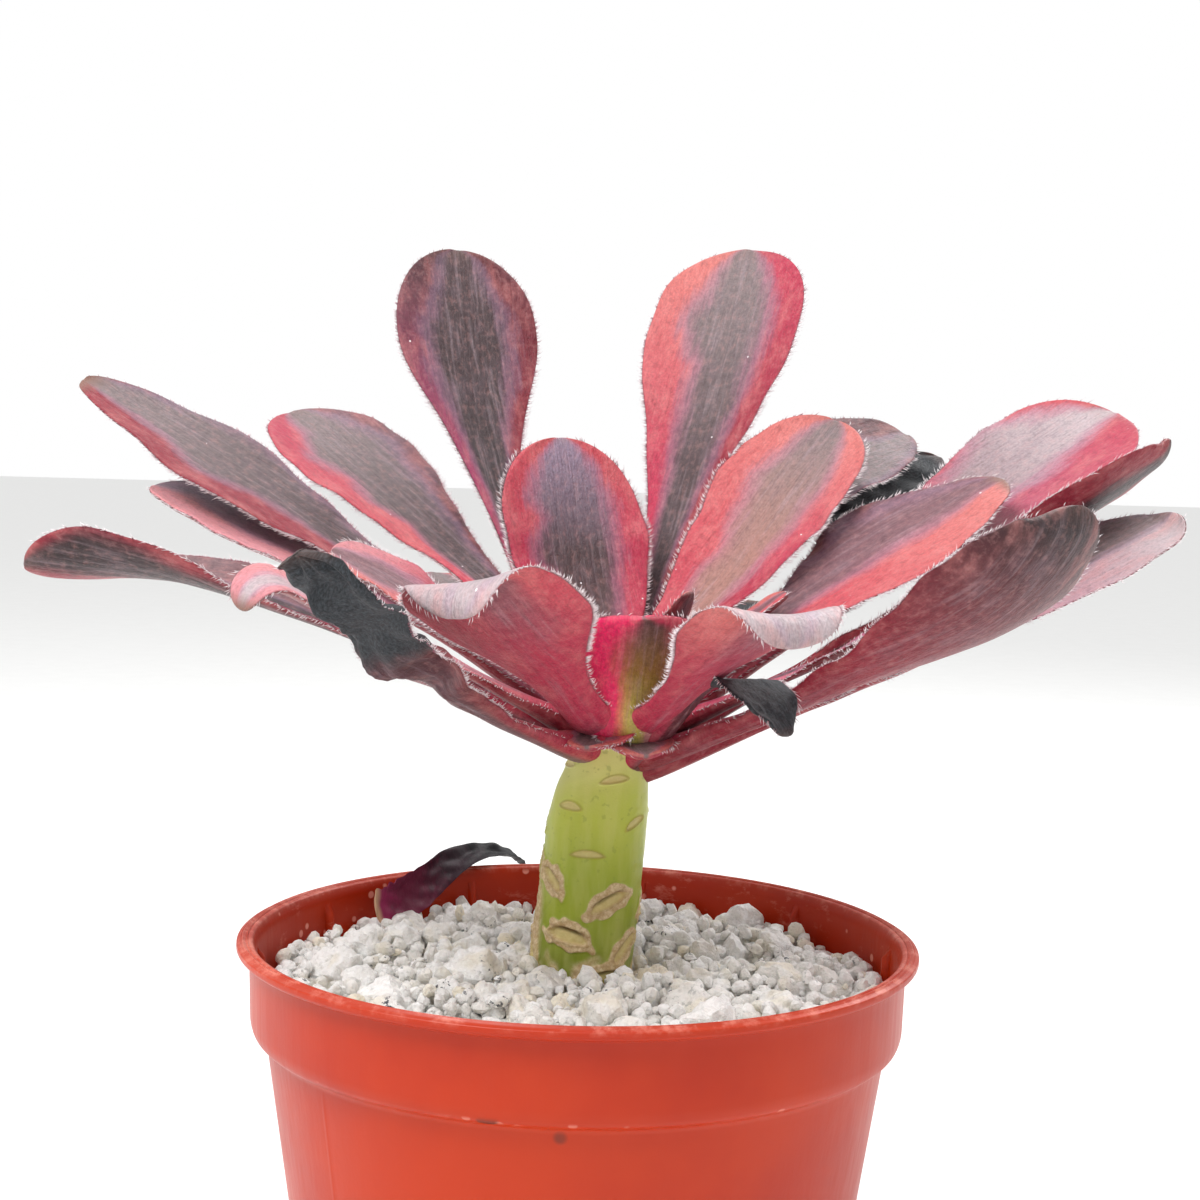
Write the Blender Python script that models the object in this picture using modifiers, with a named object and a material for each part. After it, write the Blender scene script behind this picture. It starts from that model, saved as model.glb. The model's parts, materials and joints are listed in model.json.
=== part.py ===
"""A potted tree aeonium: plastic nursery pot, potting mix, gravel, stem and rosette.

Metres, +Z up. The origin is the centre of the pot's base, which stands on z = 0.
Azimuth 0 is +X and 90 is +Y. The front of the plant faces -Y.
"""

import math

import bmesh
import bpy
import numpy as np
from mathutils import Vector, noise

for old in list(bpy.data.objects):
    bpy.data.objects.remove(old, do_unlink=True)

MM = 0.001
GAP = 0.3  # between pieces that touch, mm

# Pot, mm
POT_HEIGHT = 92.0
RIM_RADIUS = 52.5
COLLAR_RADIUS = 50.5
COLLAR_DEPTH = 14.5
BODY_TOP_RADIUS = 47.8
BASE_RADIUS = 36.5
WALL = 1.3
FLOOR = 1.6
RIB_COUNT = 10
RIB_FIRST_AZIMUTH = 5.0
RIB_PROUD = 0.9
RIB_WIDTH = 1.2
RIB_DEPTH = 1.6
RIB_TOP = 88.0
DRAIN_HOLE_RADIUS = 3.5
DRAIN_HOLE_CIRCLE = 24.0
DRAIN_HOLE_COUNT = 6

# Fill, mm
GRAVEL_BOTTOM = 79.2
GRAVEL_TOP = 85.4
GRAVEL_MOUND = 0.5  # how much higher it is by the stem
GRAVEL_BUMP = 1.3
GRAVEL_SMALL_BUMP = 0.7
GRAVEL_AROUND = 48
GRAVEL_ACROSS = 7
MIX_TOP = GRAVEL_BOTTOM - GAP
MIX_BELOW_STEP = 1.0
MIX_SIDE_GAP = 0.4

# Stem: its axis leans to the right as it rises, and it bulges to the left of the axis.
STEM_AXIS_LOW = Vector((1.5, 0.0, 85.0))
STEM_AXIS_HIGH = Vector((4.5, 0.0, 122.0))
# height, radius, and how far its middle lies left of the axis, mm
STEM_STATIONS = (
    (62.0, 4.0, 0.6),
    (64.0, 6.0, 0.8),
    (72.0, 7.2, 1.1),
    (85.0, 7.8, 1.1),
    (98.0, 7.9, 1.1),
    (110.0, 7.7, 1.1),
    (115.0, 7.2, 0.9),
    (118.0, 6.5, 0.4),
    (121.0, 6.2, 0.0),
    (124.0, 6.0, 0.0),
    (128.0, 5.4, 0.0),
    (131.5, 4.2, 0.0),
    (134.0, 2.4, 0.0),
    (135.0, 1.0, 0.0),
)
STEM_SIDES = 20
STEM_RADIUS_IN_GRAVEL = 7.9

# Leaves: millimetres and degrees. Each leaf starts beside the stem at a height and
# a reach from its axis, base_turn from the way it points. It rises at an angle, sways
# round the stem by sway along its length, and bends by lift along its length and
# by curl near its tip. Roll turns the blade about its length, twist adds to it all
# along, and turn adds to it towards the tip.
LEAF_THICKNESS = 1.4
LEAF_ROWS = 10
LEAF_COLUMNS = 4
LEAF_TIP_ROWS = 1.4  # over 1, rows crowd towards the tip
LEAF_TIP_END = 0.995  # the grid stops short of the point
CUP_FADES = 0.35  # the share of the cupping lost by the tip
PATH_STEPS = 60
USUAL_LEAF = dict(
    reach=7.0, base_turn=0.0, sway=0.0, lift=0.0, curl=0.0, curl_from=0.75, roll=0.0, twist=0.0,
    turn=0.0, turn_from=0.5, neck=0.2, wide_at=0.8, swell=1.8, tip=2.2, cup=28.0,
)
LEAVES = {
    # the tall ones at the back
    "leaf_back_left_tall": dict(
        azimuth=130, sway=-28, rise=43, lift=24, length=91, width=25.5, height=127.4,
        swell=2.6, base_turn=-9),
    "leaf_back_right_tall": dict(
        azimuth=67, sway=-7, rise=50, lift=12, length=89, width=29, height=129.2,
        base_turn=17),
    "leaf_back_centre": dict(
        azimuth=113, rise=58, lift=12, length=39.5, width=24.5, height=133.4, reach=5.6,
        wide_at=0.6, neck=0.34, swell=0.55, base_turn=22),
    "leaf_back_right_broad": dict(
        azimuth=38, rise=45, length=57.5, width=23.5, height=131.6, wide_at=0.74, lift=2, reach=5,
        neck=0.42, swell=1.1, roll=-20),
    "leaf_behind_right": dict(
        azimuth=50, rise=55, lift=-43, length=82, width=18, height=126.9, sway=-10,
        roll=-30, neck=0.3, base_turn=-1),
    "leaf_behind_right_withered": dict(
        azimuth=50, rise=53, lift=-50, length=88, width=13, height=123.8, wide_at=0.86, curl=20,
        sway=-15, roll=-30),
    # the right side
    "leaf_right_pointed": dict(
        azimuth=10, rise=33.5, lift=-2, length=65, width=26, height=128.8, wide_at=0.7, tip=1.5,
        roll=-22),
    "leaf_right_long": dict(
        azimuth=17, rise=33.2, lift=-1, length=94, width=28, height=124.2, wide_at=0.85, roll=-22,
        neck=0.16),
    "leaf_right_crimson": dict(
        azimuth=3, rise=27.6, lift=6.5, length=93, width=16, height=122.4, roll=30, tip=1.6,
        wide_at=0.86, neck=0.15),
    "leaf_right_low": dict(
        azimuth=359, rise=22.2, lift=9, length=89, width=21, height=118.9, wide_at=0.84, roll=-18),
    "leaf_right_cupped": dict(
        azimuth=332, rise=21, lift=10, length=78, width=28, height=120.9, wide_at=0.76, twist=30,
        cup=45, curl=35, curl_from=0.65, tip=1.8, neck=0.17),
    "leaf_right_short": dict(azimuth=343, rise=25, length=60, width=15, height=124.5),
    # the left side
    "leaf_left_long": dict(
        azimuth=170, rise=31, lift=-1, length=94, width=20, height=128.3, roll=22, tip=1.5),
    "leaf_left_under": dict(
        azimuth=174, rise=32.2, lift=-11, length=75, width=20.5, height=125.8, wide_at=0.78,
        roll=13),
    "leaf_left_upper": dict(
        azimuth=147, rise=37.5, lift=-7, length=73, width=26, height=130.9, wide_at=0.78, roll=14,
        base_turn=3),
    "leaf_left_small": dict(
        azimuth=194, rise=30, lift=-3, length=43, width=16, height=130.5, wide_at=0.72, roll=20),
    "leaf_left_far": dict(
        azimuth=192, rise=26, lift=-3, length=86, width=17, height=122.8, wide_at=0.84, curl=-21,
        curl_from=0.35, roll=22, turn=-58, turn_from=0.55, cup=65),
    "leaf_left_hooked": dict(
        azimuth=214, rise=26.4, lift=-4, length=62, width=12, height=124.7, curl=-95,
        curl_from=0.86, roll=20, neck=0.3, base_turn=-5),
    "leaf_left_blackened": dict(
        azimuth=231, rise=15, lift=22, length=67, width=18, height=121.8, curl=12, curl_from=0.6,
        wide_at=0.76, base_turn=-9),
    # the front
    "leaf_front_left": dict(
        azimuth=243, rise=29, lift=5, length=50, width=28, height=125.6, wide_at=0.75, curl=-130,
        curl_from=0.84, roll=-12, neck=0.25, base_turn=6),
    "leaf_front_right": dict(
        azimuth=297, rise=27.5, lift=2, length=48, width=23, height=125.4, wide_at=0.75, curl=-130,
        curl_from=0.84, neck=0.25),
    "leaf_front_withered": dict(
        azimuth=314, rise=28, length=32, width=10, height=123.6, wide_at=0.7, curl=-140,
        curl_from=0.5, reach=7.6),
    # low leaves behind the others
    "leaf_low_back_right": dict(azimuth=68, rise=18, length=64, width=20, height=120),
    "leaf_low_back": dict(azimuth=86, rise=22, length=72, width=20, height=123.5),
    "leaf_low_back_left": dict(azimuth=118, rise=17, length=66, width=20, height=124),
    "leaf_low_left": dict(azimuth=136, rise=10, length=50, width=18, height=121.5),
    # the heart of the rosette
    "leaf_heart_front": dict(
        azimuth=277, rise=56, length=18.5, width=19.5, height=127.6, wide_at=0.58, neck=0.3,
        reach=7.4),
    "leaf_heart_right": dict(
        azimuth=2, rise=38, length=25, width=10, height=130.3, wide_at=0.7, reach=6),
    "leaf_heart_point": dict(
        azimuth=330, rise=62, length=15, width=8, height=133, wide_at=0.6, tip=1.4, reach=4.6),
    "leaf_heart_left": dict(
        azimuth=200, rise=62, length=15, width=9, height=133, wide_at=0.6, tip=1.6, reach=4.6),
    # the stubs of the lowest leaves
    "leaf_stub_right": dict(
        azimuth=290, rise=-20, length=5, width=6.5, height=123.8, wide_at=0.5),
    "leaf_stub_left": dict(
        azimuth=252, rise=-12, length=5, width=6.5, height=124.1, wide_at=0.5),
}

DRY_LEAVES = ("leaf_behind_right_withered", "leaf_left_blackened", "leaf_front_withered")

# The fallen leaf lies on the gravel and arches over the rim: points along it, mm.
FALLEN_LEAF_ROUTE = (
    (-34.0, 26.0, 88.4),
    (-31.0, 31.5, 89.2),
    (-27.0, 37.5, 91.4),
    (-23.0, 43.5, 93.3),
    (-17.5, 50.0, 94.0),
    (-13.0, 54.5, 92.9),
    (-10.5, 57.5, 90.6),
)
FALLEN_LEAF_WIDTHS = (7.0, 6.4, 5.4, 4.8, 4.4, 3.6, 2.0)
FALLEN_LEAF_THICKNESS = 0.8


def collection(name):
    made = bpy.data.collections.new(name)
    bpy.context.scene.collection.children.link(made)
    return made


PIECES = collection("potted_aeonium")
CUTTERS = collection("cutters")
CUTTERS.hide_render = True


def material(name, colour, roughness):
    made = bpy.data.materials.new(name)
    made.use_nodes = True
    shader = made.node_tree.nodes["Principled BSDF"]
    shader.inputs["Base Color"].default_value = (*colour, 1.0)
    shader.inputs["Roughness"].default_value = roughness
    shader.inputs["Metallic"].default_value = 0.0
    made.diffuse_color = (*colour, 1.0)
    return made


ORANGE_PLASTIC = material("orange_plastic", (0.60, 0.07, 0.02), 0.4)
DARK_MIX = material("dark_mix", (0.05, 0.035, 0.025), 0.95)
PALE_GRAVEL = material("pale_gravel", (0.62, 0.60, 0.55), 0.85)
GREEN_STEM = material("green_stem", (0.38, 0.42, 0.09), 0.55)
PINK_LEAF = material("pink_leaf", (0.42, 0.11, 0.15), 0.5)
HOT_PINK_LEAF = material("hot_pink_leaf", (0.65, 0.03, 0.12), 0.5)
BLACK_LEAF = material("black_leaf", (0.03, 0.02, 0.03), 0.7)


def add_piece(name, mesh, finish, into=PIECES):
    piece = bpy.data.objects.new(name, mesh)
    into.objects.link(piece)
    mesh.materials.append(finish)
    mesh.shade_smooth()
    mesh.set_sharp_from_angle(angle=math.radians(40))
    if into is CUTTERS:
        piece.hide_render = True
        piece.display_type = "WIRE"
    return piece


def mesh_from(shape, name):
    mesh = bpy.data.meshes.new(name)
    shape.to_mesh(mesh)
    shape.free()
    return mesh


def turned(name, profile, finish, steps, into=PIECES):
    """A profile of (radius, height) in mm, turned about Z. It runs down its outer side."""
    mesh = bpy.data.meshes.new(name)
    points = [(radius * MM, 0.0, height * MM) for radius, height in profile]
    mesh.from_pydata(points, [(i, i + 1) for i in range(len(points) - 1)], [])
    piece = add_piece(name, mesh, finish, into)
    screw = piece.modifiers.new("turn", "SCREW")
    screw.steps = steps
    screw.render_steps = steps
    screw.use_merge_vertices = True
    screw.merge_threshold = 0.00005
    screw.use_smooth_shade = True
    return piece


def boolean(piece, cutter, operation="DIFFERENCE"):
    cut = piece.modifiers.new(operation.lower(), "BOOLEAN")
    cut.operation = operation
    cut.object = cutter
    cut.solver = "EXACT"


def stem_axis(height):
    """The stem's axis at a height, mm."""
    share = (height - STEM_AXIS_LOW.z) / (STEM_AXIS_HIGH.z - STEM_AXIS_LOW.z)
    return STEM_AXIS_LOW.lerp(STEM_AXIS_HIGH, share)


def stem_middle(height):
    """The middle of the stem's round at a height, mm."""
    heights, _, lefts = zip(*STEM_STATIONS)
    return stem_axis(height) - Vector((float(np.interp(height, heights, lefts)), 0.0, 0.0))


def stem_body(name, extra, finish, into=PIECES):
    """A round bar lofted through the stem's stations, thicker by extra mm."""
    shape = bmesh.new()
    rings = []
    for height, radius, _ in STEM_STATIONS:
        lower = -extra if height == STEM_STATIONS[0][0] else 0.0
        centre = stem_middle(height) + Vector((0.0, 0.0, lower))
        made = bmesh.ops.create_circle(shape, segments=STEM_SIDES, radius=(radius + extra) * MM)
        bmesh.ops.translate(shape, verts=made["verts"], vec=centre * MM)
        rings.append({edge for vert in made["verts"] for edge in vert.link_edges})
    for low, high in zip(rings, rings[1:]):
        bmesh.ops.bridge_loops(shape, edges=list(low | high))
    bmesh.ops.holes_fill(shape, edges=list(rings[0] | rings[-1]))
    bmesh.ops.recalc_face_normals(shape, faces=shape.faces)
    return add_piece(name, mesh_from(shape, name), finish, into)


def make_pot():
    lip = RIM_RADIUS
    top = POT_HEIGHT
    step = top - COLLAR_DEPTH
    slope = (BODY_TOP_RADIUS - BASE_RADIUS) / step
    inner_step = step - 0.6
    inner_low = BASE_RADIUS + slope * FLOOR - WALL
    profile = (
        (0.0, FLOOR),
        (inner_low, FLOOR),
        (BASE_RADIUS + slope * inner_step - WALL, inner_step),
        (COLLAR_RADIUS - 1.9, step + 0.9),
        (COLLAR_RADIUS - 1.5, step + 2.4),
        (COLLAR_RADIUS - 1.1, top - 1.4),
        (COLLAR_RADIUS - 0.7, top - 0.4),
        (COLLAR_RADIUS - 0.1, top),
        (lip - 0.7, top),
        (lip - 0.1, top - 0.5),
        (lip, top - 1.1),
        (lip - 0.4, top - 1.7),
        (COLLAR_RADIUS, top - 1.9),
        (COLLAR_RADIUS - 0.3, step + 1.8),
        (COLLAR_RADIUS - 0.9, step + 0.6),
        (BODY_TOP_RADIUS + 0.6, step - 0.1),
        (BODY_TOP_RADIUS, step - 0.5),
        (BASE_RADIUS + 0.5, 1.5),
        (BASE_RADIUS, 0.8),
        (BASE_RADIUS - 0.8, 0.0),
        (0.0, 0.0),
    )
    pot = turned("pot", profile, ORANGE_PLASTIC, 72)

    holes = bmesh.new()
    for i in range(DRAIN_HOLE_COUNT):
        angle = math.tau * (i + 0.5) / DRAIN_HOLE_COUNT
        made = bmesh.ops.create_cone(
            holes, cap_ends=True, segments=16, radius1=DRAIN_HOLE_RADIUS * MM,
            radius2=DRAIN_HOLE_RADIUS * MM, depth=4 * FLOOR * MM)
        place = Vector((math.cos(angle), math.sin(angle), 0.0)) * DRAIN_HOLE_CIRCLE * MM
        bmesh.ops.translate(holes, verts=made["verts"], vec=place)
    boolean(pot, add_piece("drain_holes", mesh_from(holes, "drain_holes"), DARK_MIX, CUTTERS))

    ribs = bmesh.new()
    rib_height = RIB_TOP - step - 1.5
    for i in range(RIB_COUNT):
        angle = math.radians(RIB_FIRST_AZIMUTH) + math.tau * i / RIB_COUNT
        made = bmesh.ops.create_cube(ribs, size=1.0)
        size = Vector((RIB_DEPTH, RIB_WIDTH, rib_height))
        bmesh.ops.scale(ribs, verts=made["verts"], vec=size * MM)
        middle = COLLAR_RADIUS - 1.4 - RIB_PROUD + RIB_DEPTH / 2
        bmesh.ops.translate(
            ribs, verts=made["verts"], vec=Vector((middle, 0.0, RIB_TOP - rib_height / 2)) * MM)
        for vert in made["verts"]:
            turn = complex(vert.co.x, vert.co.y) * complex(math.cos(angle), math.sin(angle))
            vert.co.x, vert.co.y = turn.real, turn.imag
    boolean(pot, add_piece("stacking_ribs", mesh_from(ribs, "stacking_ribs"), ORANGE_PLASTIC,
                           CUTTERS), "UNION")


def make_potting_mix():
    step = POT_HEIGHT - COLLAR_DEPTH
    slope = (BODY_TOP_RADIUS - BASE_RADIUS) / step
    bottom = FLOOR + GAP
    high = step - MIX_BELOW_STEP
    clear = WALL + MIX_SIDE_GAP
    low_radius = BASE_RADIUS + slope * bottom - clear
    high_radius = BASE_RADIUS + slope * high - clear
    profile = (
        (0.0, MIX_TOP), (high_radius, MIX_TOP), (high_radius, high), (low_radius, bottom),
        (0.0, bottom),
    )
    mix = turned("potting_mix", profile, DARK_MIX, 48)
    boolean(mix, stem_body("stem_socket", GAP, DARK_MIX, CUTTERS))


def make_gravel():
    """A bumpy ring from the stem out to the pot's wall, extruded down to a flat bottom."""
    inner = STEM_RADIUS_IN_GRAVEL + GAP + 0.2
    outer = COLLAR_RADIUS - 1.6 - RIB_PROUD - GAP
    shape = bmesh.new()
    made = bmesh.ops.create_grid(
        shape, x_segments=GRAVEL_AROUND, y_segments=GRAVEL_ACROSS, size=1.0)
    for vert in made["verts"]:
        angle = math.pi * vert.co.x
        share = (vert.co.y + 1) / 2
        centre = stem_middle(GRAVEL_TOP) * (1 - share)
        radius = inner + (outer - inner) * share
        spot = Vector((centre.x + radius * math.cos(angle), radius * math.sin(angle), 0.0))
        mound = GRAVEL_MOUND * math.cos(math.pi * share / 2)
        bump = (GRAVEL_BUMP * noise.noise(spot * 0.16)
                + GRAVEL_SMALL_BUMP * noise.noise(spot * 0.45))
        spot.z = GRAVEL_TOP + mound + bump
        vert.co = spot * MM
    bmesh.ops.remove_doubles(shape, verts=shape.verts, dist=0.00001)
    lower = bmesh.ops.extrude_face_region(shape, geom=list(shape.faces), use_keep_orig=True)
    for item in lower["geom"]:
        if isinstance(item, bmesh.types.BMVert):
            item.co.z = GRAVEL_BOTTOM * MM
    bmesh.ops.recalc_face_normals(shape, faces=shape.faces)
    add_piece("gravel_layer", mesh_from(shape, "gravel_layer"), PALE_GRAVEL)


def ease(share):
    share = np.clip(share, 0.0, 1.0)
    return share * share * (3 - 2 * share)


def half_width(leaf, along):
    """Narrow at the neck, widest at wide_at, and rounded off to the tip."""
    swelling = ease((np.clip(along, 0, leaf["wide_at"]) / leaf["wide_at"]) ** leaf["swell"])
    beyond = np.clip((along - leaf["wide_at"]) / (1 - leaf["wide_at"]), 0, 1)
    rounding = np.sqrt(np.clip(1 - beyond ** leaf["tip"], 0, 1))
    return leaf["width"] / 2 * (leaf["neck"] + (1 - leaf["neck"]) * swelling) * rounding


def leaf_frames(leaf):
    """Along the leaf from base to tip: its middle line, sideways direction and normal."""
    along = np.linspace(0, 1, PATH_STEPS + 1)
    bent = ease((along - leaf["curl_from"]) / (1 - leaf["curl_from"]))
    azimuth = np.radians(leaf["azimuth"] + leaf["sway"] * along ** 1.5)
    rise = np.radians(leaf["rise"] + leaf["lift"] * along + leaf["curl"] * bent)
    turned_late = ease((along - leaf["turn_from"]) / (1 - leaf["turn_from"]))
    roll = np.radians(leaf["roll"] * ease(along / 0.4) + leaf["twist"] * along
                      + leaf["turn"] * turned_late)
    ahead = np.stack([np.cos(rise) * np.cos(azimuth), np.cos(rise) * np.sin(azimuth),
                      np.sin(rise)], axis=1)
    normal = np.stack([-np.sin(rise) * np.cos(azimuth), -np.sin(rise) * np.sin(azimuth),
                       np.cos(rise)], axis=1)
    side = np.cross(ahead, normal)
    steps = (ahead[1:] + ahead[:-1]) / 2 * leaf["length"] / PATH_STEPS
    start = np.radians(leaf["azimuth"] + leaf["base_turn"])
    base = np.array(stem_axis(leaf["height"])) + leaf["reach"] * np.array(
        [np.cos(start), np.sin(start), 0.0])
    middle = base + np.vstack([np.zeros(3), np.cumsum(steps, axis=0)])
    turn_cos, turn_sin = np.cos(roll)[:, None], np.sin(roll)[:, None]
    return along, middle, side * turn_cos + normal * turn_sin, normal * turn_cos - side * turn_sin


def make_leaf(name, leaf):
    """A grid laid along the leaf's middle line, cupped across, and given its thickness."""
    along, middle, side, normal = leaf_frames(leaf)
    shape = bmesh.new()
    made = bmesh.ops.create_grid(shape, x_segments=LEAF_COLUMNS, y_segments=LEAF_ROWS, size=1.0)
    for vert in made["verts"]:
        across = vert.co.x
        place = LEAF_TIP_END * (1 - (1 - (vert.co.y + 1) / 2) ** LEAF_TIP_ROWS)
        cup = math.radians(leaf["cup"]) * (1 - CUP_FADES * place)
        reach = float(half_width(leaf, place))
        out = reach * math.sin(cup * across) / cup
        up = reach * (1 - math.cos(cup * across)) / cup
        at = [Vector([np.interp(place, along, line[:, axis]) for axis in range(3)])
              for line in (middle, side, normal)]
        vert.co = (at[0] + at[1] * out + at[2] * up) * MM
    if name in DRY_LEAVES:
        finish = BLACK_LEAF
    else:
        finish = HOT_PINK_LEAF if name.startswith("leaf_heart") else PINK_LEAF
    thicken(add_piece(name, mesh_from(shape, name), finish), LEAF_THICKNESS)


def thicken(piece, thickness):
    shell = piece.modifiers.new("thickness", "SOLIDIFY")
    shell.thickness = thickness * MM
    shell.offset = 0.0


def make_fallen_leaf():
    """A dry strip along its route, turned over sideways a little."""
    route = [Vector(point) for point in FALLEN_LEAF_ROUTE]
    rows = len(route)
    shape = bmesh.new()
    made = bmesh.ops.create_grid(shape, x_segments=2, y_segments=rows - 1, size=1.0)
    for vert in made["verts"]:
        row = round((vert.co.y + 1) / 2 * (rows - 1))
        ahead = (route[min(row + 1, rows - 1)] - route[max(row - 1, 0)]).normalized()
        side = ahead.cross(Vector((0.0, 0.0, 1.0))).normalized()
        vert.co = (route[row] + side * vert.co.x * FALLEN_LEAF_WIDTHS[row] / 2) * MM
    piece = add_piece("fallen_leaf", mesh_from(shape, "fallen_leaf"), BLACK_LEAF)
    thicken(piece, FALLEN_LEAF_THICKNESS)


make_pot()
make_potting_mix()
make_gravel()
stem_body("stem", 0.0, GREEN_STEM)
for leaf_name, values in LEAVES.items():
    make_leaf(leaf_name, {**USUAL_LEAF, **values})
make_fallen_leaf()
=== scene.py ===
import json
import math

import bmesh
import bpy
import numpy as np
from mathutils import Matrix, Vector

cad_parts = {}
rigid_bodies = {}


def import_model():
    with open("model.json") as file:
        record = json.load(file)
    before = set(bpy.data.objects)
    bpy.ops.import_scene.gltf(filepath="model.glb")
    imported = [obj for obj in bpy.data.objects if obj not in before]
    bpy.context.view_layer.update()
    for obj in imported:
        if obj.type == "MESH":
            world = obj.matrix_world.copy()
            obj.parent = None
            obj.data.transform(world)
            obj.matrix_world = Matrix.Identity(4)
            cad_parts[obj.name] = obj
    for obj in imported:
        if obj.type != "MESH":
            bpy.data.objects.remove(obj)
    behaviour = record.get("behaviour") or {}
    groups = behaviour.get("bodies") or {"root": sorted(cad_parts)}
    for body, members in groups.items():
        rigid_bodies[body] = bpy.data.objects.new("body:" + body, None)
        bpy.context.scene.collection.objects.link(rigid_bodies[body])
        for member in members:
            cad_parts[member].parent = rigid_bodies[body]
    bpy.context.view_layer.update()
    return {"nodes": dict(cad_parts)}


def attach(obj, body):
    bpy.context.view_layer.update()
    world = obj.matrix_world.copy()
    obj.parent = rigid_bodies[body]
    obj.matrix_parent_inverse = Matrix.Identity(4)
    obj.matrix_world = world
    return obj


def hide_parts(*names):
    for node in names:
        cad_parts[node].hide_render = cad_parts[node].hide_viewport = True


for old in list(bpy.data.objects):
    bpy.data.objects.remove(old, do_unlink=True)

print("loading the frame")
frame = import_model()
mm = 0.001

# shared shape helpers: millimetres in, whole arrays throughout


def ease(share):
    # A smooth step: 3x squared less 2x cubed, held between 0 and 1.
    share = np.clip(share, 0.0, 1.0)
    return share * share * (3 - 2 * share)


def hump(value, width):
    # A bell: one at zero, falling off over the width.
    return np.exp(-(value / width) ** 2)


def wrapped(angle):
    # The same angle, brought to between minus and plus half a turn.
    return (angle + np.pi) % (2 * np.pi) - np.pi


def evenTurns(count):
    return np.arange(count) * 2 * np.pi / count


def unit(vectors, tiny=0.0):
    # Each vector over its length; tiny keeps a vector of no length from dividing by zero.
    return vectors / (np.linalg.norm(vectors, axis=-1, keepdims=True) + tiny)


def readAlong(at, places, table):
    # Every column of a table, read at some places by straight runs between its rows.
    return np.stack([np.interp(at, places, column) for column in table.T], -1)


def ripple(points, waveLength, seed, waves=7):
    # The sum of a few sine waves that cross in random directions, scaled to about -1 to 1.
    dice = np.random.default_rng(seed)
    headings = dice.normal(size=(waves, points.shape[-1]))
    headings /= np.linalg.norm(headings, axis=1, keepdims=True)
    headings *= 2 * np.pi / (waveLength * dice.uniform(0.6, 1.6, (waves, 1)))
    phases = dice.uniform(0, 2 * np.pi, waves)
    return np.sin(points @ headings.T + phases).sum(-1) / math.sqrt(2 * waves)


def meshFrom(name, points, *faceArrays):
    # Face arrays hold four or three corner numbers a row.
    mesh = bpy.data.meshes.new(name)
    corners = np.concatenate([faces.ravel() for faces in faceArrays]).astype(np.int32)
    sizes = np.concatenate([np.full(len(faces), faces.shape[1]) for faces in faceArrays])
    starts = np.concatenate([[0], np.cumsum(sizes)[:-1]]).astype(np.int32)
    mesh.vertices.add(len(points))
    mesh.vertices.foreach_set("co", (points * mm).astype(np.float32).ravel())
    mesh.loops.add(len(corners))
    mesh.loops.foreach_set("vertex_index", corners)
    mesh.polygons.add(len(sizes))
    mesh.polygons.foreach_set("loop_start", starts)
    mesh.update(calc_edges=True)
    mesh.validate()
    mesh.shade_smooth()
    return mesh


def ringQuads(rings, around, first=0):
    # Quads between each ring of points and the next, closed round the ring.
    ring, step = np.meshgrid(np.arange(rings - 1), np.arange(around), indexing="ij")
    onward = (step + 1) % around
    low, high = first + ring * around, first + (ring + 1) * around
    return np.stack([low + step, low + onward, high + onward, high + step], -1).reshape(-1, 4)


def fan(around, first, pole, flip):
    # Triangles from a ring of points to its pole.
    step = np.arange(around)
    onward = (step + 1) % around
    ends = (onward, step) if flip else (step, onward)
    return np.stack([first + ends[0], first + ends[1], np.full(around, pole)], -1)


def loftFaces(rings, around, first=0, turned=False):
    # The skin and the two end fans of a closed loft, whose poles are its last two points.
    count = rings * around
    skin = ringQuads(rings, around, first)
    caps = np.vstack([fan(around, first, first + count, not turned),
                      fan(around, first + count - around, first + count + 1, turned)])
    return (skin[:, ::-1] if turned else skin), caps


def newObject(name, data):
    made = bpy.data.objects.new(name, data)
    bpy.context.scene.collection.objects.link(made)
    return made


def addPiece(name, mesh, finishes, replaced=()):
    piece = newObject(name, mesh)
    for finish in finishes:
        mesh.materials.append(finish)
    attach(piece, "root")
    if replaced:
        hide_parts(*replaced)


def addValues(mesh, name, values):
    mesh.attributes.new(name, "FLOAT", "POINT").data.foreach_set(
        "value", values.astype(np.float32).ravel())


def addColours(mesh, name, colours):
    full = np.ones((len(colours), 4), np.float32)
    full[:, :3] = colours
    mesh.attributes.new(name, "FLOAT_COLOR", "POINT").data.foreach_set("color", full.ravel())


# camera, in metres and degrees: a close look from a little above the rosette's heart

cameraView = dict(place=(0.0, -0.3109, 0.1679), down=4.37, yaw=0.36, roll=1.51, lens=60.8)


def addCamera(view):
    down, yaw, roll = (math.radians(view[key]) for key in ("down", "yaw", "roll"))
    ahead = Vector((math.sin(yaw) * math.cos(down), math.cos(yaw) * math.cos(down),
                    -math.sin(down)))
    right = Vector((math.cos(yaw), -math.sin(yaw), 0.0))
    up = right.cross(ahead)
    rolledRight = right * math.cos(roll) + up * math.sin(roll)
    rolledUp = up * math.cos(roll) - right * math.sin(roll)
    turn = Matrix((rolledRight, rolledUp, -ahead)).transposed().to_4x4()
    data = bpy.data.cameras.new("camera")
    data.lens = view["lens"]
    data.sensor_width = 36.0
    data.clip_start = 0.01
    camera = newObject("camera", data)
    camera.matrix_world = Matrix.Translation(view["place"]) @ turn
    bpy.context.scene.camera = camera


addCamera(cameraView)

# shared material helpers


def linear(colour):
    # From 0-255 screen values to the linear values that shaders use.
    share = np.asarray(colour, float) / 255
    return np.where(share <= 0.04045, share / 12.92, ((share + 0.055) / 1.055) ** 2.4)


def tone(*colour):
    return (*linear(colour), 1.0)


def startMaterial(name, sockets):
    made = bpy.data.materials.new(name)
    made.use_nodes = True
    shader = made.node_tree.nodes["Principled BSDF"]
    for socket, value in sockets.items():
        shader.inputs[socket].default_value = value
    return made, made.node_tree, shader


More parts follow.
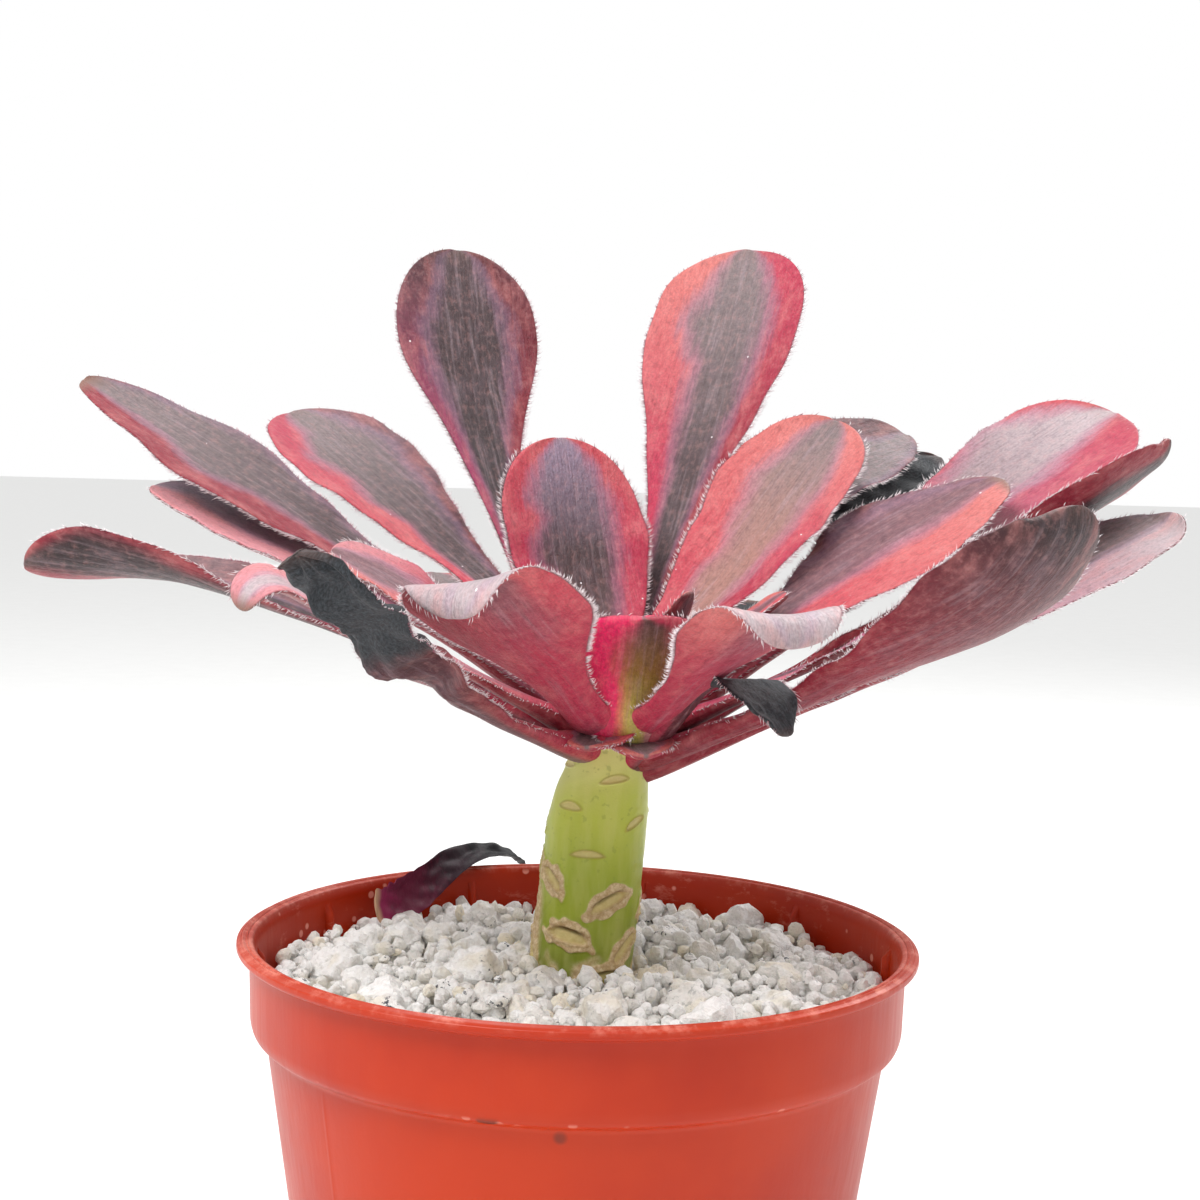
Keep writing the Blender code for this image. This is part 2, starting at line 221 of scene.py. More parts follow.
def addNode(tree, kind, inputs=None, **settings):
    made = tree.nodes.new("ShaderNode" + kind)
    for key, value in settings.items():
        setattr(made, key, value)
    for key, value in (inputs or {}).items():
        if isinstance(value, bpy.types.NodeSocket):
            tree.links.new(value, made.inputs[key])
        else:
            made.inputs[key].default_value = value
    return made


def mixed(tree, share, first, second, blend="MIX"):
    return addNode(tree, "Mix", {0: share, 6: first, 7: second}, data_type="RGBA",
                   blend_type=blend).outputs[2]


def worked(tree, operation, first, second):
    return addNode(tree, "Math", {0: first, 1: second}, operation=operation).outputs[0]


def times(tree, first, second):
    return worked(tree, "MULTIPLY", first, second)


def plus(tree, first, second):
    return worked(tree, "ADD", first, second)


def ranged(tree, value, low, high, newLow=0.0, newHigh=1.0):
    return addNode(tree, "MapRange", {0: value, 1: low, 2: high, 3: newLow, 4: newHigh},
                   interpolation_type="SMOOTHSTEP").outputs[0]


def noisy(tree, where, scale, detail=3.0, roughness=0.5):
    return addNode(tree, "TexNoise", {"Vector": where, "Scale": scale, "Detail": detail,
                                      "Roughness": roughness}).outputs[0]


def cells(tree, where, scale, feature="F1"):
    return addNode(tree, "TexVoronoi", {"Vector": where, "Scale": scale}, feature=feature)


def chanceOf(tree, spots, channel):
    # One random number for each cell, from its colour.
    return addNode(tree, "SeparateColor", {0: spots.outputs["Color"]}).outputs[channel]


def stained(tree, base, value, low, high, most, *colour):
    # A tone laid over the base as the value goes from low to high, up to a share.
    return mixed(tree, ranged(tree, value, low, high, 0.0, most), base, tone(*colour))


def stretched(tree, where, scale):
    return addNode(tree, "Mapping", {"Vector": where, "Scale": scale}).outputs[0]


def placeOf(tree):
    return addNode(tree, "TexCoord").outputs["Object"]


def attribute(tree, name, output="Fac"):
    return addNode(tree, "Attribute", attribute_name=name).outputs[output]


def bumped(tree, shader, height, distance, strength=1.0):
    bump = addNode(tree, "Bump", {"Height": height, "Distance": distance,
                                  "Strength": strength})
    tree.links.new(bump.outputs[0], shader.inputs["Normal"])


# pot: a thin plastic shell turned about Z

print("pot")
pot = dict(
    height=92.0, rim=52.5, collar=50.5, collarDepth=14.5, bodyTop=47.8, base=36.5, wall=1.3,
    floor=1.6, segments=216, ribCount=10, ribFirst=5.0, ribProud=1.1, ribWidth=1.3,
    ribTop=89.2, holeRadius=3.5, holeCircle=24.0, holeCount=6, holeSides=48, barSpan=(-4.0, 6.0),
    seamAzimuth=222.0, seamProud=0.07, seamWidth=0.22, grooveDepth=0.12, grooveCount=3, wobble=0.06)


def roundedProfile(corners, steps=5):
    # Each corner (radius, height, fillet) becomes a short curve: a quadratic Bezier
    # from a fillet's length before the corner to a fillet's length after it.
    points = [np.array(corners[0][:2], float)]
    bend = np.linspace(0, 1, steps)[:, None]
    for before, here, after in zip(corners, corners[1:], corners[2:]):
        at = np.array(here[:2], float)
        back, on = np.array(before[:2]) - at, np.array(after[:2]) - at
        reach = min(here[2], 0.48 * np.linalg.norm(back), 0.48 * np.linalg.norm(on))
        start = at + back / np.linalg.norm(back) * reach
        end = at + on / np.linalg.norm(on) * reach
        points.extend((1 - bend) ** 2 * start + 2 * bend * (1 - bend) * at + bend ** 2 * end)
    points.append(np.array(corners[-1][:2], float))
    return np.array(points)


def densified(profile, longest):
    # Points are added so that no stretch is longer than this.
    steps = np.linalg.norm(np.diff(profile, axis=0), axis=1)
    counts = np.maximum(1, np.ceil(steps / longest)).astype(int)
    at = np.concatenate([np.arange(count) / count + i for i, count in enumerate(counts)]
                        + [[len(profile) - 1.0]])
    places = np.arange(len(profile))
    return readAlong(at, places, profile)


def potAzimuths():
    # Even steps round the pot, with finer ones at each rib and at the seam.
    even = evenTurns(pot["segments"])
    ribs = np.radians(pot["ribFirst"]) + evenTurns(pot["ribCount"])
    fine = np.radians(np.array([-1.1, -0.85, -0.6, -0.3, 0.0, 0.3, 0.6, 0.85, 1.1]))
    seam = np.radians(pot["seamAzimuth"] + np.array([-0.5, -0.25, 0.0, 0.25, 0.5]))
    every = np.concatenate([even, (ribs[:, None] + fine).ravel(), seam]) % (2 * np.pi)
    every = np.sort(every)
    keep = np.concatenate([[True], np.diff(every) > np.radians(0.12)])
    return every[keep], ribs


def makePot():
    top, lip, collar = pot["height"], pot["rim"], pot["collar"]
    step = top - pot["collarDepth"]
    slope = (pot["bodyTop"] - pot["base"]) / step
    inner = pot["base"] + slope * pot["floor"] - pot["wall"]
    corners = (
        (0.0, pot["floor"], 0), (inner, pot["floor"], 1.6),
        (pot["base"] + slope * (step - 0.6) - pot["wall"], step - 0.6, 1.0),
        (collar - 1.9, step + 0.9, 0.8), (collar - 1.5, step + 2.4, 1.0),
        (collar - 1.1, top - 1.6, 0.8), (collar - 0.5, top - 0.15, 0.5),
        (collar + 0.15, top, 0.4), (lip - 0.8, top + 0.05, 0.3), (lip - 0.45, top - 0.2, 0.2),
        (lip - 0.05, top - 0.35, 0.35), (lip, top - 1.25, 0.4), (lip - 0.5, top - 1.7, 0.3),
        (collar + 0.15, top - 1.95, 0.3), (collar, top - 3.2, 0.8),
        (collar - 0.25, step + 2.0, 1.2), (collar - 0.8, step + 0.45, 1.0),
        (pot["bodyTop"] + 0.55, step - 0.15, 0.5), (pot["bodyTop"], step - 0.9, 0.8),
        (pot["base"] + 0.3, 1.9, 1.5), (pot["base"] - 0.6, 0.0, 0.9),
        (pot["base"] - 3.0, 0.0, 0.4), (pot["base"] - 3.4, 0.35, 0.3), (0.0, 0.35, 0))
    profile = densified(roundedProfile(corners), 1.6)
    azimuths, ribs = potAzimuths()
    radius, height = profile[1:-1, 0][:, None], profile[1:-1, 1][:, None]
    rows = np.arange(len(radius))[:, None]
    outerFrom = np.argmax(profile[1:-1, 0])
    turnFromRib = np.abs(wrapped(azimuths[None, :, None] - ribs))
    nearRib = turnFromRib.min(-1) * (collar - 1.4)
    ribShape = 1 - ease((nearRib - pot["ribWidth"] * 0.3) / (pot["ribWidth"] * 0.3))
    ribSpan = (ease((height - step - 1.2) / 0.6) * (1 - ease((height - pot["ribTop"] + 0.8) / 0.8))
               * (rows < outerFrom))
    inside = radius - pot["ribProud"] * ribShape * ribSpan
    lipShare = np.clip((radius - collar - 0.1) / (lip - 0.9 - collar), 0, 1)
    onLip = (height > top - 0.12) & (radius > collar) & (radius < lip - 0.7)
    groove = pot["grooveDepth"] * onLip * np.cos(2 * np.pi * pot["grooveCount"] * lipShare)
    fromSeam = np.abs(wrapped(azimuths - np.radians(pot["seamAzimuth"])))
    onBody = (rows > outerFrom) & (height < step - 1.5) & (height > 2.5)
    seam = pot["seamProud"] * hump(fromSeam * pot["bodyTop"], pot["seamWidth"])[None, :] * onBody
    circle = np.stack([np.cos(azimuths), np.sin(azimuths)], -1)
    wobble = pot["wobble"] * ripple(circle, 1.1, 5)[None, :] * (height / top)
    away = inside + seam + wobble
    points = np.stack([away * np.cos(azimuths), away * np.sin(azimuths),
                       np.broadcast_to(height - groove, away.shape)], -1).reshape(-1, 3)
    poles = np.array([[0, 0, profile[0, 1]], [0, 0, profile[-1, 1]]])
    return meshFrom("pot", np.vstack([points, poles]),
                    *loftFaces(len(radius), len(azimuths), turned=True))


def cutHoles(mesh):
    # The drain holes are cut by a Boolean with short bars, which are then thrown away.
    shell = newObject("potShell", mesh)
    turn, sides = evenTurns(pot["holeSides"]), pot["holeSides"]
    ring = np.stack([np.cos(turn), np.sin(turn)], -1) * pot["holeRadius"]
    allPoints, allFaces = [], []
    for i in range(pot["holeCount"]):
        angle = 2 * np.pi * (i + 0.5) / pot["holeCount"]
        middle = np.array([math.cos(angle), math.sin(angle)]) * pot["holeCircle"]
        rings = [np.column_stack([ring + middle, np.full(sides, level)])
                 for level in pot["barSpan"]]
        caps = [[*middle, level] for level in pot["barSpan"]]
        allPoints.append(np.vstack([*rings, caps]))
        allFaces.append(loftFaces(2, sides, i * (2 * sides + 2)))
    skins, caps = (np.vstack(faces) for faces in zip(*allFaces))
    bars = newObject("bars", meshFrom("bars", np.vstack(allPoints), skins, caps))
    cut = shell.modifiers.new("holes", "BOOLEAN")
    cut.operation = "DIFFERENCE"
    cut.object = bars
    cut.solver = "EXACT"
    graph = bpy.context.evaluated_depsgraph_get()
    done = bpy.data.meshes.new_from_object(shell.evaluated_get(graph))
    for item in (shell, bars):
        bpy.data.objects.remove(item, do_unlink=True)
    done.shade_smooth()
    done.set_sharp_from_angle(angle=math.radians(50))
    return done


def potPlastic():
    made, tree, shader = startMaterial("potPlastic", {
        "Specular IOR Level": 0.3,
        "Subsurface Weight": 0.06, "Subsurface Scale": 0.002,
        "Subsurface Radius": (1.0, 0.35, 0.15)})
    where = placeOf(tree)
    axes = addNode(tree, "SeparateXYZ", {0: where})
    cloud = noisy(tree, where, 28.0, 4.0, 0.55)
    base = mixed(tree, ranged(tree, cloud, 0.3, 0.7), tone(174, 38, 2), tone(190, 52, 6))
    # a slight bloom of dust and hard-water marks near the rim and on the inner wall
    fromAxis = addNode(tree, "VectorMath", {0: stretched(tree, where, (1, 1, 0))},
                       operation="LENGTH").outputs["Value"]
    inner = times(tree, ranged(tree, fromAxis, 0.05, 0.0496),
                   ranged(tree, axes.outputs[2], 0.0776, 0.0786))
    dust = cells(tree, where, 420.0)
    speck = times(tree, ranged(tree, dust.outputs["Distance"], 0.32, 0.2),
                   ranged(tree, chanceOf(tree, dust, 0), 0.8, 0.83))
    smear = ranged(tree, noisy(tree, stretched(tree, where, (1, 1, 2.2)), 160.0, 6.0, 0.7),
                   0.56, 0.72)
    marks = worked(tree, "MAXIMUM", times(tree, speck, 0.8), times(tree, smear, 0.3))
    dusty = times(tree, inner, marks)
    high = ranged(tree, axes.outputs[2], 0.0908, 0.0922)
    rimWear = times(tree, high, ranged(tree, noisy(tree, where, 300.0, 5.0, 0.65),
                                                     0.45, 0.7, 0.05, 0.5))
    pale = worked(tree, "MAXIMUM", dusty, rimWear)
    base = mixed(tree, pale, base, tone(250, 170, 150))
    # grit caught under the collar
    dirt = cells(tree, where, 230.0)
    ledge = times(tree, ranged(tree, axes.outputs[2], 0.0725, 0.0755),
                   ranged(tree, axes.outputs[2], 0.079, 0.0775))
    side = ranged(tree, noisy(tree, where, 22.0, 2.0), 0.5, 0.6)
    lump = times(tree, ranged(tree, dirt.outputs["Distance"], 0.34, 0.2),
                 ranged(tree, chanceOf(tree, dirt, 1), 0.78, 0.8))
    grit = times(tree, times(tree, ledge, side), lump)
    base = mixed(tree, grit, base, tone(70, 40, 28))
    tree.links.new(base, shader.inputs["Base Color"])
    scratches = noisy(tree, stretched(tree, where, (1.0, 1.0, 0.06)), 900.0, 3.0, 0.6)
    tree.links.new(plus(tree, times(tree, scratches, 0.22), 0.27),
                   shader.inputs["Roughness"])
    fine = noisy(tree, where, 1400.0, 2.0, 0.5)
    height = plus(tree, times(tree, fine, 0.35),
                    times(tree, scratches, 0.4))
    height = plus(tree, height, times(tree, grit, 2.0))
    bumped(tree, shader, height, 0.00006, 0.6)
    return made


addPiece("pot", cutHoles(makePot()), [potPlastic()], ["pot"])

# gravel: a bed of fine grit with crushed stones dropped onto it

print("gravel")
gravel = dict(
    bed=83.1, bottom=79.3, mound=1.3, swell=1.1,
    innerRadius=8.4, innerMiddle=0.4, outerRadius=48.3,
    bigCount=185, bigSizes=(1.6, 5.0), fineFrom=2.1, smallCount=1900, smallSizes=(0.5, 1.5),
    swellLength=30.0, nearness=0.78, highest=5.6, tries=14, seed=11,
    planes=11, planeOffsets=(0.62, 0.95), squash=(0.72, 1.15), farthest=1.12, sharpAngle=34)


def gravelTarget(x, y):
    # The gravel's level: a low mound round the stem, with broad swells.
    away = np.hypot(x, y) / gravel["outerRadius"]
    spot = np.stack([x, y], -1)
    swell = gravel["swell"] * ripple(spot, gravel["swellLength"], 3)
    return gravel["bed"] + gravel["mound"] * (1 - away ** 2) + swell


def dropStones():
    # Each stone tries a few places, rests on the highest stone or bed below it there,
    # and keeps the place where its top ends lowest against the wanted level.
    dice = np.random.default_rng(gravel["seed"])
    big = gravel["bigSizes"][0] + np.diff(gravel["bigSizes"])[0] * dice.random(
        gravel["bigCount"]) ** 1.7
    small = dice.uniform(*gravel["smallSizes"], gravel["smallCount"])
    sizes = np.concatenate([np.sort(big)[::-1], small])
    placed = np.zeros((len(sizes), 4))
    inner, outer = gravel["innerRadius"], gravel["outerRadius"]
    for i, size in enumerate(sizes):
        away = np.sqrt(dice.uniform((inner + size * 0.7) ** 2, (outer - size * 0.75) ** 2,
                                    gravel["tries"]))
        angle = dice.uniform(0, 2 * np.pi, gravel["tries"])
        x = gravel["innerMiddle"] * (1 - away / outer) + away * np.cos(angle)
        y = away * np.sin(angle)
        level = gravelTarget(x, y)
        done = placed[:i]
        flat = np.hypot(x[:, None] - done[:, 0], y[:, None] - done[:, 1])
        touching = gravel["nearness"] * (size + done[:, 3])
        climb = np.sqrt(np.clip(touching ** 2 - flat ** 2, 0, None))
        resting = np.where(flat < touching, done[:, 2] + climb, -np.inf).max(1, initial=-np.inf)
        z = np.maximum(resting, level + size * 0.25)
        best = np.argmin(z + size - level)
        placed[i] = x[best], y[best], z[best], size
    high = placed[:, 2] + placed[:, 3] - gravelTarget(placed[:, 0], placed[:, 1])
    return placed[high < gravel["highest"]]


def icoSphere(subdivisions):
    made = bpy.data.meshes.new("seedSphere")
    shape = bmesh.new()
    bmesh.ops.create_icosphere(shape, subdivisions=subdivisions, radius=1.0)
    shape.to_mesh(made)
    shape.free()
    points = np.empty(len(made.vertices) * 3, np.float32)
    made.vertices.foreach_get("co", points)
    faces = np.empty(len(made.polygons) * 3, np.int32)
    made.polygons.foreach_get("vertices", faces)
    bpy.data.meshes.remove(made)
    points = points.reshape(-1, 3).astype(float)
    return points / np.linalg.norm(points, axis=1, keepdims=True), faces.reshape(-1, 3)


def makeStones(name, stones, subdivisions, seed, roughness):
    # Every stone starts as a ball of directions. Random planes cut it: the distance
    # along a direction is the nearest plane's offset over the cosine to that plane.
    dice = np.random.default_rng(seed)
    directions, faces = icoSphere(subdivisions)
    count, planes, each = len(stones), gravel["planes"], len(directions)
    normals = unit(dice.normal(size=(count, planes, 3)))
    offsets = dice.uniform(*gravel["planeOffsets"], (count, planes))
    facing = np.einsum("vk,npk->nvp", directions, normals)
    reach = np.where(facing > 0.05, offsets[:, None, :] / np.maximum(facing, 0.05), 9.0).min(2)
    reach = np.minimum(reach, gravel["farthest"])
    squash = dice.uniform(*gravel["squash"], (count, 1, 3))
    shape = directions * reach[:, :, None] * squash
    knobs = ripple(shape + dice.uniform(0, 50, (count, 1, 3)), 0.55, seed + 1, 9)
    fine = np.abs(ripple(shape + dice.uniform(0, 50, (count, 1, 3)), 0.3, seed + 2, 9))
    shape = shape * (1 + roughness * (knobs + 0.7 * fine)[..., None])
    points = stones[:, None, :3] + shape * stones[:, None, 3:]
    allFaces = (faces + (np.arange(count) * each)[:, None, None]).reshape(-1, 3)
    mesh = meshFrom(name, points.reshape(-1, 3), allFaces)
    addValues(mesh, "stoneTint", np.repeat(dice.random(count), each))
    addValues(mesh, "stoneMica", np.repeat(dice.random(count), each))
    mesh.set_sharp_from_angle(angle=math.radians(gravel["sharpAngle"]))
    return mesh


def makeBed():
    # A closed ring: the top runs outwards, then down the wall, back along the bottom
    # and up beside the stem. Only the top carries grit.
    around, across = 300, 90
    share = np.linspace(0, 1, across)
    turn = evenTurns(around)
    centre = gravel["innerMiddle"] * (1 - share)
    away = gravel["innerRadius"] + (gravel["outerRadius"] - gravel["innerRadius"]) * share
    x = centre[:, None] + away[:, None] * np.cos(turn)
    y = away[:, None] * np.sin(turn)
    spot = np.stack([x, y], -1)
    grit = 0.28 * np.abs(ripple(spot, 2.2, 8, 12)) + 0.16 * ripple(spot, 1.1, 9, 12)
    top = np.stack([x, y, gravelTarget(x, y) + grit], -1)
    under = np.stack([x[::-1], y[::-1], np.full_like(x, gravel["bottom"])], -1)[::14]
    points = np.vstack([top.reshape(-1, 3), under.reshape(-1, 3)])
    rings = across + len(under)
    step = np.arange(around)
    onward = (step + 1) % around
    last = (rings - 1) * around
    join = np.stack([last + step, last + onward, onward, step], -1)
    mesh = meshFrom("gravelBed", points, np.vstack([ringQuads(rings, around), join])[:, ::-1])
    addValues(mesh, "stoneTint", 0.5 + 0.4 * ripple(points, 2.0, 4))
    addValues(mesh, "stoneMica", 0.4 + 0.3 * ripple(points, 3.0, 6))
    return mesh


def granite():
    made, tree, shader = startMaterial("granite", {
        "Roughness": 0.6, "Subsurface Weight": 0.3, "Subsurface Scale": 0.002,
        "Subsurface Radius": (1.0, 0.95, 0.9)})
    where = placeOf(tree)
    tint, mica = attribute(tree, "stoneTint"), attribute(tree, "stoneMica")
    base = mixed(tree, ranged(tree, tint, 0.0, 0.75), tone(240, 237, 230), tone(255, 254, 250))
    base = mixed(tree, ranged(tree, tint, 0.95, 0.99, 0.0, 0.6), base, tone(240, 222, 180))
    crystals = cells(tree, where, 1500.0)
    grain = [chanceOf(tree, crystals, channel) for channel in range(3)]
    for value, low, high, most, colour in (
            (grain[0], 0.3, 1.0, 0.3, (206, 204, 198)),
            (noisy(tree, where, 420.0, 4.0, 0.7), 0.58, 0.7, 0.4, (178, 176, 168)),
            (noisy(tree, where, 150.0, 2.0), 0.52, 0.68, 0.4, (238, 226, 196)),
            (noisy(tree, where, 260.0, 4.0, 0.6), 0.5, 0.72, 0.4, (190, 190, 190))):
        base = stained(tree, base, value, low, high, most, *colour)
    flecks = noisy(tree, where, 900.0, 3.0, 0.65)
    patch = ranged(tree, noisy(tree, where, 190.0, 2.0, 0.5), 0.48, 0.62)
    rich = ranged(tree, mica, 0.45, 0.8)
    dark = times(tree, ranged(tree, flecks, 0.56, 0.64), worked(
        tree, "MAXIMUM", times(tree, rich, patch), times(tree, patch, 0.25)))
    base = mixed(tree, dark, base, tone(62, 68, 76))
    tree.links.new(base, shader.inputs["Base Color"])
    tree.links.new(ranged(tree, grain[1], 0.0, 1.0, 0.38, 0.78),
                   shader.inputs["Roughness"])
    height = plus(tree, times(tree, grain[2], 0.6),
                    noisy(tree, where, 1200.0, 4.0, 0.65))
    bumped(tree, shader, height, 0.0008, 0.9)
    return made


stoneFinish = granite()
allStones = dropStones()
isBig = allStones[:, 3] >= gravel["fineFrom"]
isChip = (allStones[:, 3] >= gravel["bigSizes"][0]) & ~isBig
addPiece("gravelBed", makeBed(), [stoneFinish], ["gravel_layer"])
for stoneName, kept, subdivisions, stoneSeed, roughness in (
        ("gravelStones", isBig, 4, 21, 0.1), ("gravelChips", isChip, 3, 23, 0.09),
        ("gravelGrit", ~isBig & ~isChip, 2, 22, 0.06)):
    addPiece(stoneName, makeStones(stoneName, allStones[kept], subdivisions, stoneSeed, roughness),
             [stoneFinish])


# potting mix: the CAD plug with a bark-and-grit finish


def barkMix():
    made, tree, shader = startMaterial("barkMix", {"Roughness": 0.92})
    where = placeOf(tree)
    chips = cells(tree, stretched(tree, where, (1.0, 0.6, 1.4)), 330.0)
    base = mixed(tree, ranged(tree, chanceOf(tree, chips, 0), 0.1, 0.9), tone(46, 33, 25),
                 tone(98, 72, 52))
    base = stained(tree, base, chanceOf(tree, chips, 1), 0.93, 0.96, 1.0, 214, 208, 198)
    tree.links.new(base, shader.inputs["Base Color"])
    height = plus(tree, noisy(tree, where, 700.0, 5.0, 0.65),
                  times(tree, chips.outputs["Distance"], -1.2))
    bumped(tree, shader, height, 0.0012)
    return made


mix = frame["nodes"]["potting_mix"]
mix.data.materials.clear()
mix.data.materials.append(barkMix())

# stem: a fleshy bar with leaf scars

print("stem")
stem = dict(
    rows=420, around=220, low=74.0, high=134.6,
    axisStart=(1.5, 85.0), axisEnd=(4.5, 122.0))  # x and height of two points on its axis
# height, radius, and how far its middle lies left of the axis
stemStations = (
    (62, 4, 0.6), (64, 6, 0.8), (72, 7.2, 1.1), (85, 7.8, 1.1), (98, 7.9, 1.1), (110, 7.7, 1.1),
    (115, 7.2, 0.9), (118, 6.5, 0.4), (121, 6.2, 0), (124, 6, 0), (128, 5.4, 0), (131.5, 4.2, 0),
    (134, 2.4, 0), (135, 1, 0))
# azimuth, height, half width, half height, tilt (degrees), corky (0 to 1)
leafScars = (
    (200, 119.0, 1.7, 0.5, 4, 0.0), (281, 117.3, 2.0, 0.55, 8, 0.0),
    (231, 113.0, 2.0, 0.6, -3, 0.0), (318, 110.6, 2.0, 0.6, 24, 0.1),
    (172, 109.3, 2.2, 0.7, -30, 0.2), (262, 106.0, 2.4, 0.55, -1, 0.0),
    (184, 103.4, 2.0, 0.8, -35, 0.5), (220, 101.7, 2.5, 0.7, -38, 0.7),
    (292, 98.7, 3.1, 0.9, 27, 0.9), (249, 93.3, 3.3, 1.1, -12, 1.0),
    (322, 91.2, 2.9, 0.8, 42, 0.7), (186, 89.4, 3.0, 1.2, -55, 1.0),
    (296, 86.6, 3.4, 1.2, 8, 0.8), (20, 112.0, 2.1, 0.6, 10, 0.1), (60, 117.5, 2.0, 0.55, -4, 0.0),
    (95, 108.4, 2.3, 0.6, 5, 0.2), (130, 114.6, 2.0, 0.6, -8, 0.1), (40, 103.0, 2.5, 0.8, -14, 0.5),
    (75, 96.5, 2.9, 0.9, 16, 0.8), (120, 101.0, 2.6, 0.8, 12, 0.5), (150, 95.0, 2.9, 0.9, -20, 0.8),
    (5, 97.0, 2.8, 0.9, 20, 0.7), (100, 90.2, 3.1, 1.1, -10, 0.9), (45, 89.5, 3.0, 1.0, 12, 0.9))


def stemAxis(height):
    # The stem leans to the right as it rises: its axis at a height, x and y.
    (x, low), (endX, high) = stem["axisStart"], stem["axisEnd"]
    share = (np.asarray(height, float) - low) / (high - low)
    return np.stack([x + (endX - x) * share, np.zeros_like(share)], -1)


def stemShape(height, column):
    # A column of the stations, joined by straight runs and smoothed over a few millimetres.
    stations = np.array(stemStations, float)
    offsets = np.linspace(-2.0, 2.0, 9)
    return np.mean([np.interp(height + offset, stations[:, 0], stations[:, column])
                    for offset in offsets], axis=0)


def scarMarks(azimuth, height, radius):
    # Each scar is a lens on the unrolled surface: the shares of its seat, rim, corky halo
    # and slit, and how far it lifts or sinks the surface.
    seat, rim, halo, slit, lift = (np.zeros_like(height) for mark in range(5))
    for at, level, half, tall, tilt, corky in leafScars:
        x = wrapped(azimuth - np.radians(at)) * radius
        y = height - level
        lean = np.radians(tilt)
        along, over = x * np.cos(lean) + y * np.sin(lean), y * np.cos(lean) - x * np.sin(lean)
        over = over + 0.12 * half * ((along / half) ** 2 - 0.4)  # a slight bow
        d = np.sqrt((along / half) ** 2 + 1e-9) ** 2.2 + (np.abs(over) / tall) ** 1.5
        wobble = 0.25 * ripple(np.stack([x, y], -1), 2.4, int(at), 5)
        inside = 1 - ease((d - 0.75) / 0.35)
        edge = hump(d - 1.15, 0.32)
        spread = (along / (half + 1.5)) ** 2 + (over / (tall + 1.5)) ** 2
        cork = corky * (1 - ease((spread + wobble - 0.72) / 0.3))
        gap = corky * hump(over - tall * 0.75, 0.3) * (1 - ease(np.abs(along) / half - 0.25))
        seat = np.maximum(seat, inside)
        rim = np.maximum(rim, edge * (1 - 0.5 * corky))
        halo = np.maximum(halo, cork)
        slit = np.maximum(slit, gap)
        lift += 0.2 * edge - 0.1 * inside + 0.34 * cork * (1 - inside) - 0.55 * gap
    return seat, rim, halo, slit, lift


def makeStem():
    height = np.linspace(stem["low"], stem["high"], stem["rows"])[:, None]
    azimuth = evenTurns(stem["around"])[None, :]
    height, azimuth = np.broadcast_arrays(height, azimuth)
    radius = stemShape(height, 1)
    seat, rim, halo, slit, lift = scarMarks(azimuth, height, radius)
    round3 = np.stack([np.cos(azimuth) * radius, np.sin(azimuth) * radius, height], -1)
    swell = 0.12 * ripple(round3, 16.0, 31) + 0.03 * ripple(round3, 3.0, 32)
    low = ease((91.0 - height) / 6.0 + 0.35 * ripple(round3, 5.0, 34))
    left = 0.8 * hump((azimuth - np.radians(188)) * 7, 2.6) * ease((105 - height) / 8)
    cork = np.clip(np.maximum.reduce([halo, low * 0.85, left]), 0, 1)
    away = radius + lift + swell + 0.1 * cork * ripple(round3, 1.1, 33, 12)
    centre = stemAxis(height)[..., 0] - stemShape(height, 2)
    points = np.stack([centre + away * np.cos(azimuth), away * np.sin(azimuth), height],
                      -1).reshape(-1, 3)
    ends = np.array([[centre[0, 0], 0.0, stem["low"] - 0.4],
                     [*stemAxis(stem["high"]), stem["high"] + 0.4]])
    mesh = meshFrom("stem", np.vstack([points, ends]), *loftFaces(stem["rows"], stem["around"]))
    for name, values in (("seat", seat), ("rim", rim), ("cork", cork), ("slit", slit)):
        addValues(mesh, name, np.concatenate([values.ravel(), [0, 0]]))
    return mesh


